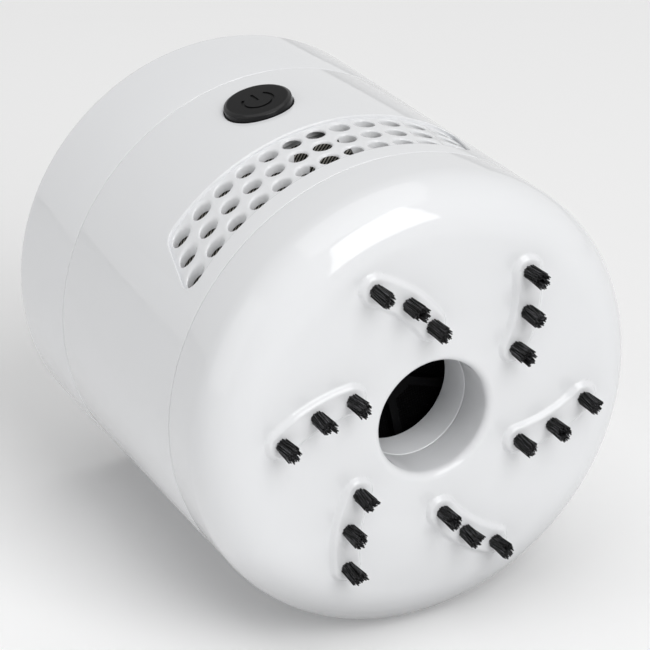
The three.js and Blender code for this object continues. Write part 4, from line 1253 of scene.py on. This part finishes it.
class CLEANER_OT_top_cap(bpy.types.Operator):
    """Build the top cap"""

    bl_idname = "cleaner.top_cap"
    bl_label = "Top Cap"

    def execute(self, context):
        sizes, colours = settings(context)
        radius = sizes.drum_radius
        edge = sizes.cap_edge
        inner = radius - sizes.wall
        small = sizes.edge_rounding
        bottom = cap_low.z - CLEARANCE / 2 + sizes.seam_width / 2
        ceiling = cap_high.z - CAP_TOP
        profile = [
            Vector((0, cap_high.z)),
            *arc(radius - edge, cap_high.z - edge, edge, 90, 0, EDGE_SEGMENTS // 2),
            *rounded([
                (radius, (bottom + ceiling) / 2, 0),
                (radius, bottom, small),
                (inner, bottom, small),
                (inner, ceiling, edge),
                (0, ceiling, 0),
            ], False),
        ]
        piece = new_object("cap_shell", turned(profile, WALL_STEPS, False))
        finish_piece(piece, "cap", [finish("shell", colours)], "top_cap")
        return {"FINISHED"}


class CLEANER_OT_power_button(bpy.types.Operator):
    """Build the power button with its engraved sign"""

    bl_idname = "cleaner.power_button"
    bl_label = "Power Button"

    def execute(self, context):
        sizes, colours = settings(context)
        radius = sizes.button_radius
        front, back = button_high.x, button_low.x
        flange = button_high.y - button_middle.y
        profile = rounded([
            (0, front, 0),
            (radius - BUTTON_BEVEL, front, BUTTON_EDGE),
            (radius, front - BUTTON_BEVEL / 2, BUTTON_EDGE),
            (radius, back + FLANGE, 0),
            (flange, back + FLANGE, 0),
            (flange, back, 0),
            (0, back, 0),
        ], False)
        mesh = turned(profile, SMALL_STEPS, False)
        upright_to_x = Matrix.Rotation(math.pi / 2, 4, "Y")
        place = Matrix.Translation((0, button_middle.y, button_middle.z))
        bmesh.ops.transform(mesh, matrix=place @ upright_to_x, verts=mesh.verts)
        piece = new_object("button_cap", mesh)
        cut_out(piece, power_sign(front))
        finish_piece(piece, "button", [finish("button", colours)], "power_button")
        return {"FINISHED"}


class CLEANER_OT_bristles(bpy.types.Operator):
    """Build the three bristle sets with their strands"""

    bl_idname = "cleaner.bristles"
    bl_label = "Bristles"

    def execute(self, context):
        sizes, colours = settings(context)
        material = finish("bristle", colours)
        for number in range(PAD_COUNT // PADS_PER_SET):
            mesh = backing(number)
            for pad in range(number * PADS_PER_SET, (number + 1) * PADS_PER_SET):
                for order, place in enumerate(tuft_places(pad)):
                    add_tuft(mesh, place, pad * len(TUFT_RADII) + order, sizes)
            piece = new_object(f"bristles_{number + 1}", mesh)
            finish_piece(piece, "cover", [material], f"bristle_set_{number + 1}")
        return {"FINISHED"}


class CLEANER_OT_cells(bpy.types.Operator):
    """Build the two battery cells"""

    bl_idname = "cleaner.cells"
    bl_label = "Battery Cells"

    def execute(self, context):
        colours = context.scene.cleaner_colours
        materials = [finish(kind, colours) for kind in ("wrapper", "cell_end", "band")]
        for name, front in (("cell_1", -1), ("cell_2", 1)):
            low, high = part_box(name)
            middle = (low + high) / 2
            radius = (high.z - low.z) / 2
            half = (high.x - low.x) / 2
            shoulder = half - CELL_NUB
            profile = rounded([
                (0, half, 0),
                (CELL_NUB_RADIUS, half, CELL_NUB_EDGE),
                (CELL_NUB_RADIUS, shoulder, CELL_NUB_FOOT),
                (radius - CELL_FACE_INSET, shoulder, 0),
                (radius, shoulder, CELL_EDGE),
                (radius, half - CELL_BAND, 0),
                (radius, -half, CELL_EDGE),
                (radius - CELL_FACE_INSET, -half, 0),
                (0, -half, 0),
            ], False)
            mesh = turned(profile, SMALL_STEPS, False)
            turn = Matrix.Rotation(front * math.pi / 2, 4, "Y")
            bmesh.ops.transform(mesh, matrix=Matrix.Translation(middle) @ turn, verts=mesh.verts)
            for face in mesh.faces:
                centre = face.calc_center_median() - middle
                if math.hypot(centre.y, centre.z) < radius - CELL_FACE_INSET:
                    face.material_index = 1
                elif centre.x * front > half - CELL_BAND:
                    face.material_index = 2
            finish_piece(new_object(f"{name}_wrapped", mesh), "cells", materials, name)
        return {"FINISHED"}


class CLEANER_OT_screws(bpy.types.Operator):
    """Build the screws with their domed heads and cross recesses"""

    bl_idname = "cleaner.screws"
    bl_label = "Screws"

    def execute(self, context):
        steel = finish("steel", context.scene.cleaner_colours)
        names = [
            (f"{kind}_screw_{number}", head_on_top)
            for kind, count, head_on_top in SCREWS for number in range(1, count + 1)
        ]
        for name, head_on_top in names:
            low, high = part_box(name)
            mesh = turned(screw_profile(high.z - low.z), SMALL_STEPS // 2, False)
            piece = new_object(f"{name}_turned", mesh)
            cut_out(piece, cross_recess())
            middle = (low + high) / 2
            place = Matrix.Translation((middle.x, middle.y, high.z if head_on_top else low.z))
            flip = Matrix.Rotation(math.pi if head_on_top else 0, 4, "X")
            piece.data.transform(place @ flip)
            finish_piece(piece, "housing", [steel], name)
        return {"FINISHED"}


class CLEANER_OT_inner_parts(bpy.types.Operator):
    """Give the part's own inner pieces their finishes"""

    bl_idname = "cleaner.inner_parts"
    bl_label = "Inner Parts"

    def execute(self, context):
        for kind, names in INNER_FINISHES.items():
            material = finish(kind, context.scene.cleaner_colours)
            for name in names:
                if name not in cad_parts:
                    raise RuntimeError(f"the part has no node named {name}")
                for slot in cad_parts[name].material_slots:
                    slot.material = material
        return {"FINISHED"}


class CLEANER_OT_stage(bpy.types.Operator):
    """Set up the floor, the lamps and the camera"""

    bl_idname = "cleaner.stage"
    bl_label = "Stage"

    def execute(self, context):
        stage = context.scene.cleaner_stage
        context.scene.view_settings.view_transform = "Standard"
        lay_floor(stage, context.scene.cleaner_sizes.drum_radius)
        light_surround(stage)
        hang_lamps(stage)
        set_camera(stage)
        return {"FINISHED"}


PIECE_OPERATORS = (
    CLEANER_OT_main_body,
    CLEANER_OT_bottom_cover,
    CLEANER_OT_dust_cup,
    CLEANER_OT_top_cap,
    CLEANER_OT_power_button,
    CLEANER_OT_bristles,
    CLEANER_OT_cells,
    CLEANER_OT_screws,
    CLEANER_OT_inner_parts,
    CLEANER_OT_stage,
)


class CLEANER_PT_panel(bpy.types.Panel):
    """Sidebar panel with a button for each piece"""

    bl_idname = "CLEANER_PT_panel"
    bl_label = "Mini Vacuum Cleaner"
    bl_space_type = "VIEW_3D"
    bl_region_type = "UI"
    bl_category = "Cleaner"

    def draw(self, context):
        for operator in PIECE_OPERATORS:
            self.layout.operator(operator.bl_idname)


CLASSES = (CleanerSizes, CleanerColours, StageSettings, *PIECE_OPERATORS, CLEANER_PT_panel)


def register():
    for made in CLASSES:
        bpy.utils.register_class(made)
    bpy.types.Scene.cleaner_sizes = PointerProperty(type=CleanerSizes)
    bpy.types.Scene.cleaner_colours = PointerProperty(type=CleanerColours)
    bpy.types.Scene.cleaner_stage = PointerProperty(type=StageSettings)


def unregister():
    del bpy.types.Scene.cleaner_stage
    del bpy.types.Scene.cleaner_colours
    del bpy.types.Scene.cleaner_sizes
    for made in reversed(CLASSES):
        bpy.utils.unregister_class(made)


def main():
    register()
    bpy.ops.cleaner.main_body()
    bpy.ops.cleaner.bottom_cover()
    bpy.ops.cleaner.dust_cup()
    bpy.ops.cleaner.top_cap()
    bpy.ops.cleaner.power_button()
    bpy.ops.cleaner.bristles()
    bpy.ops.cleaner.cells()
    bpy.ops.cleaner.screws()
    bpy.ops.cleaner.inner_parts()
    bpy.ops.cleaner.stage()


if __name__ == "__main__":
    main()
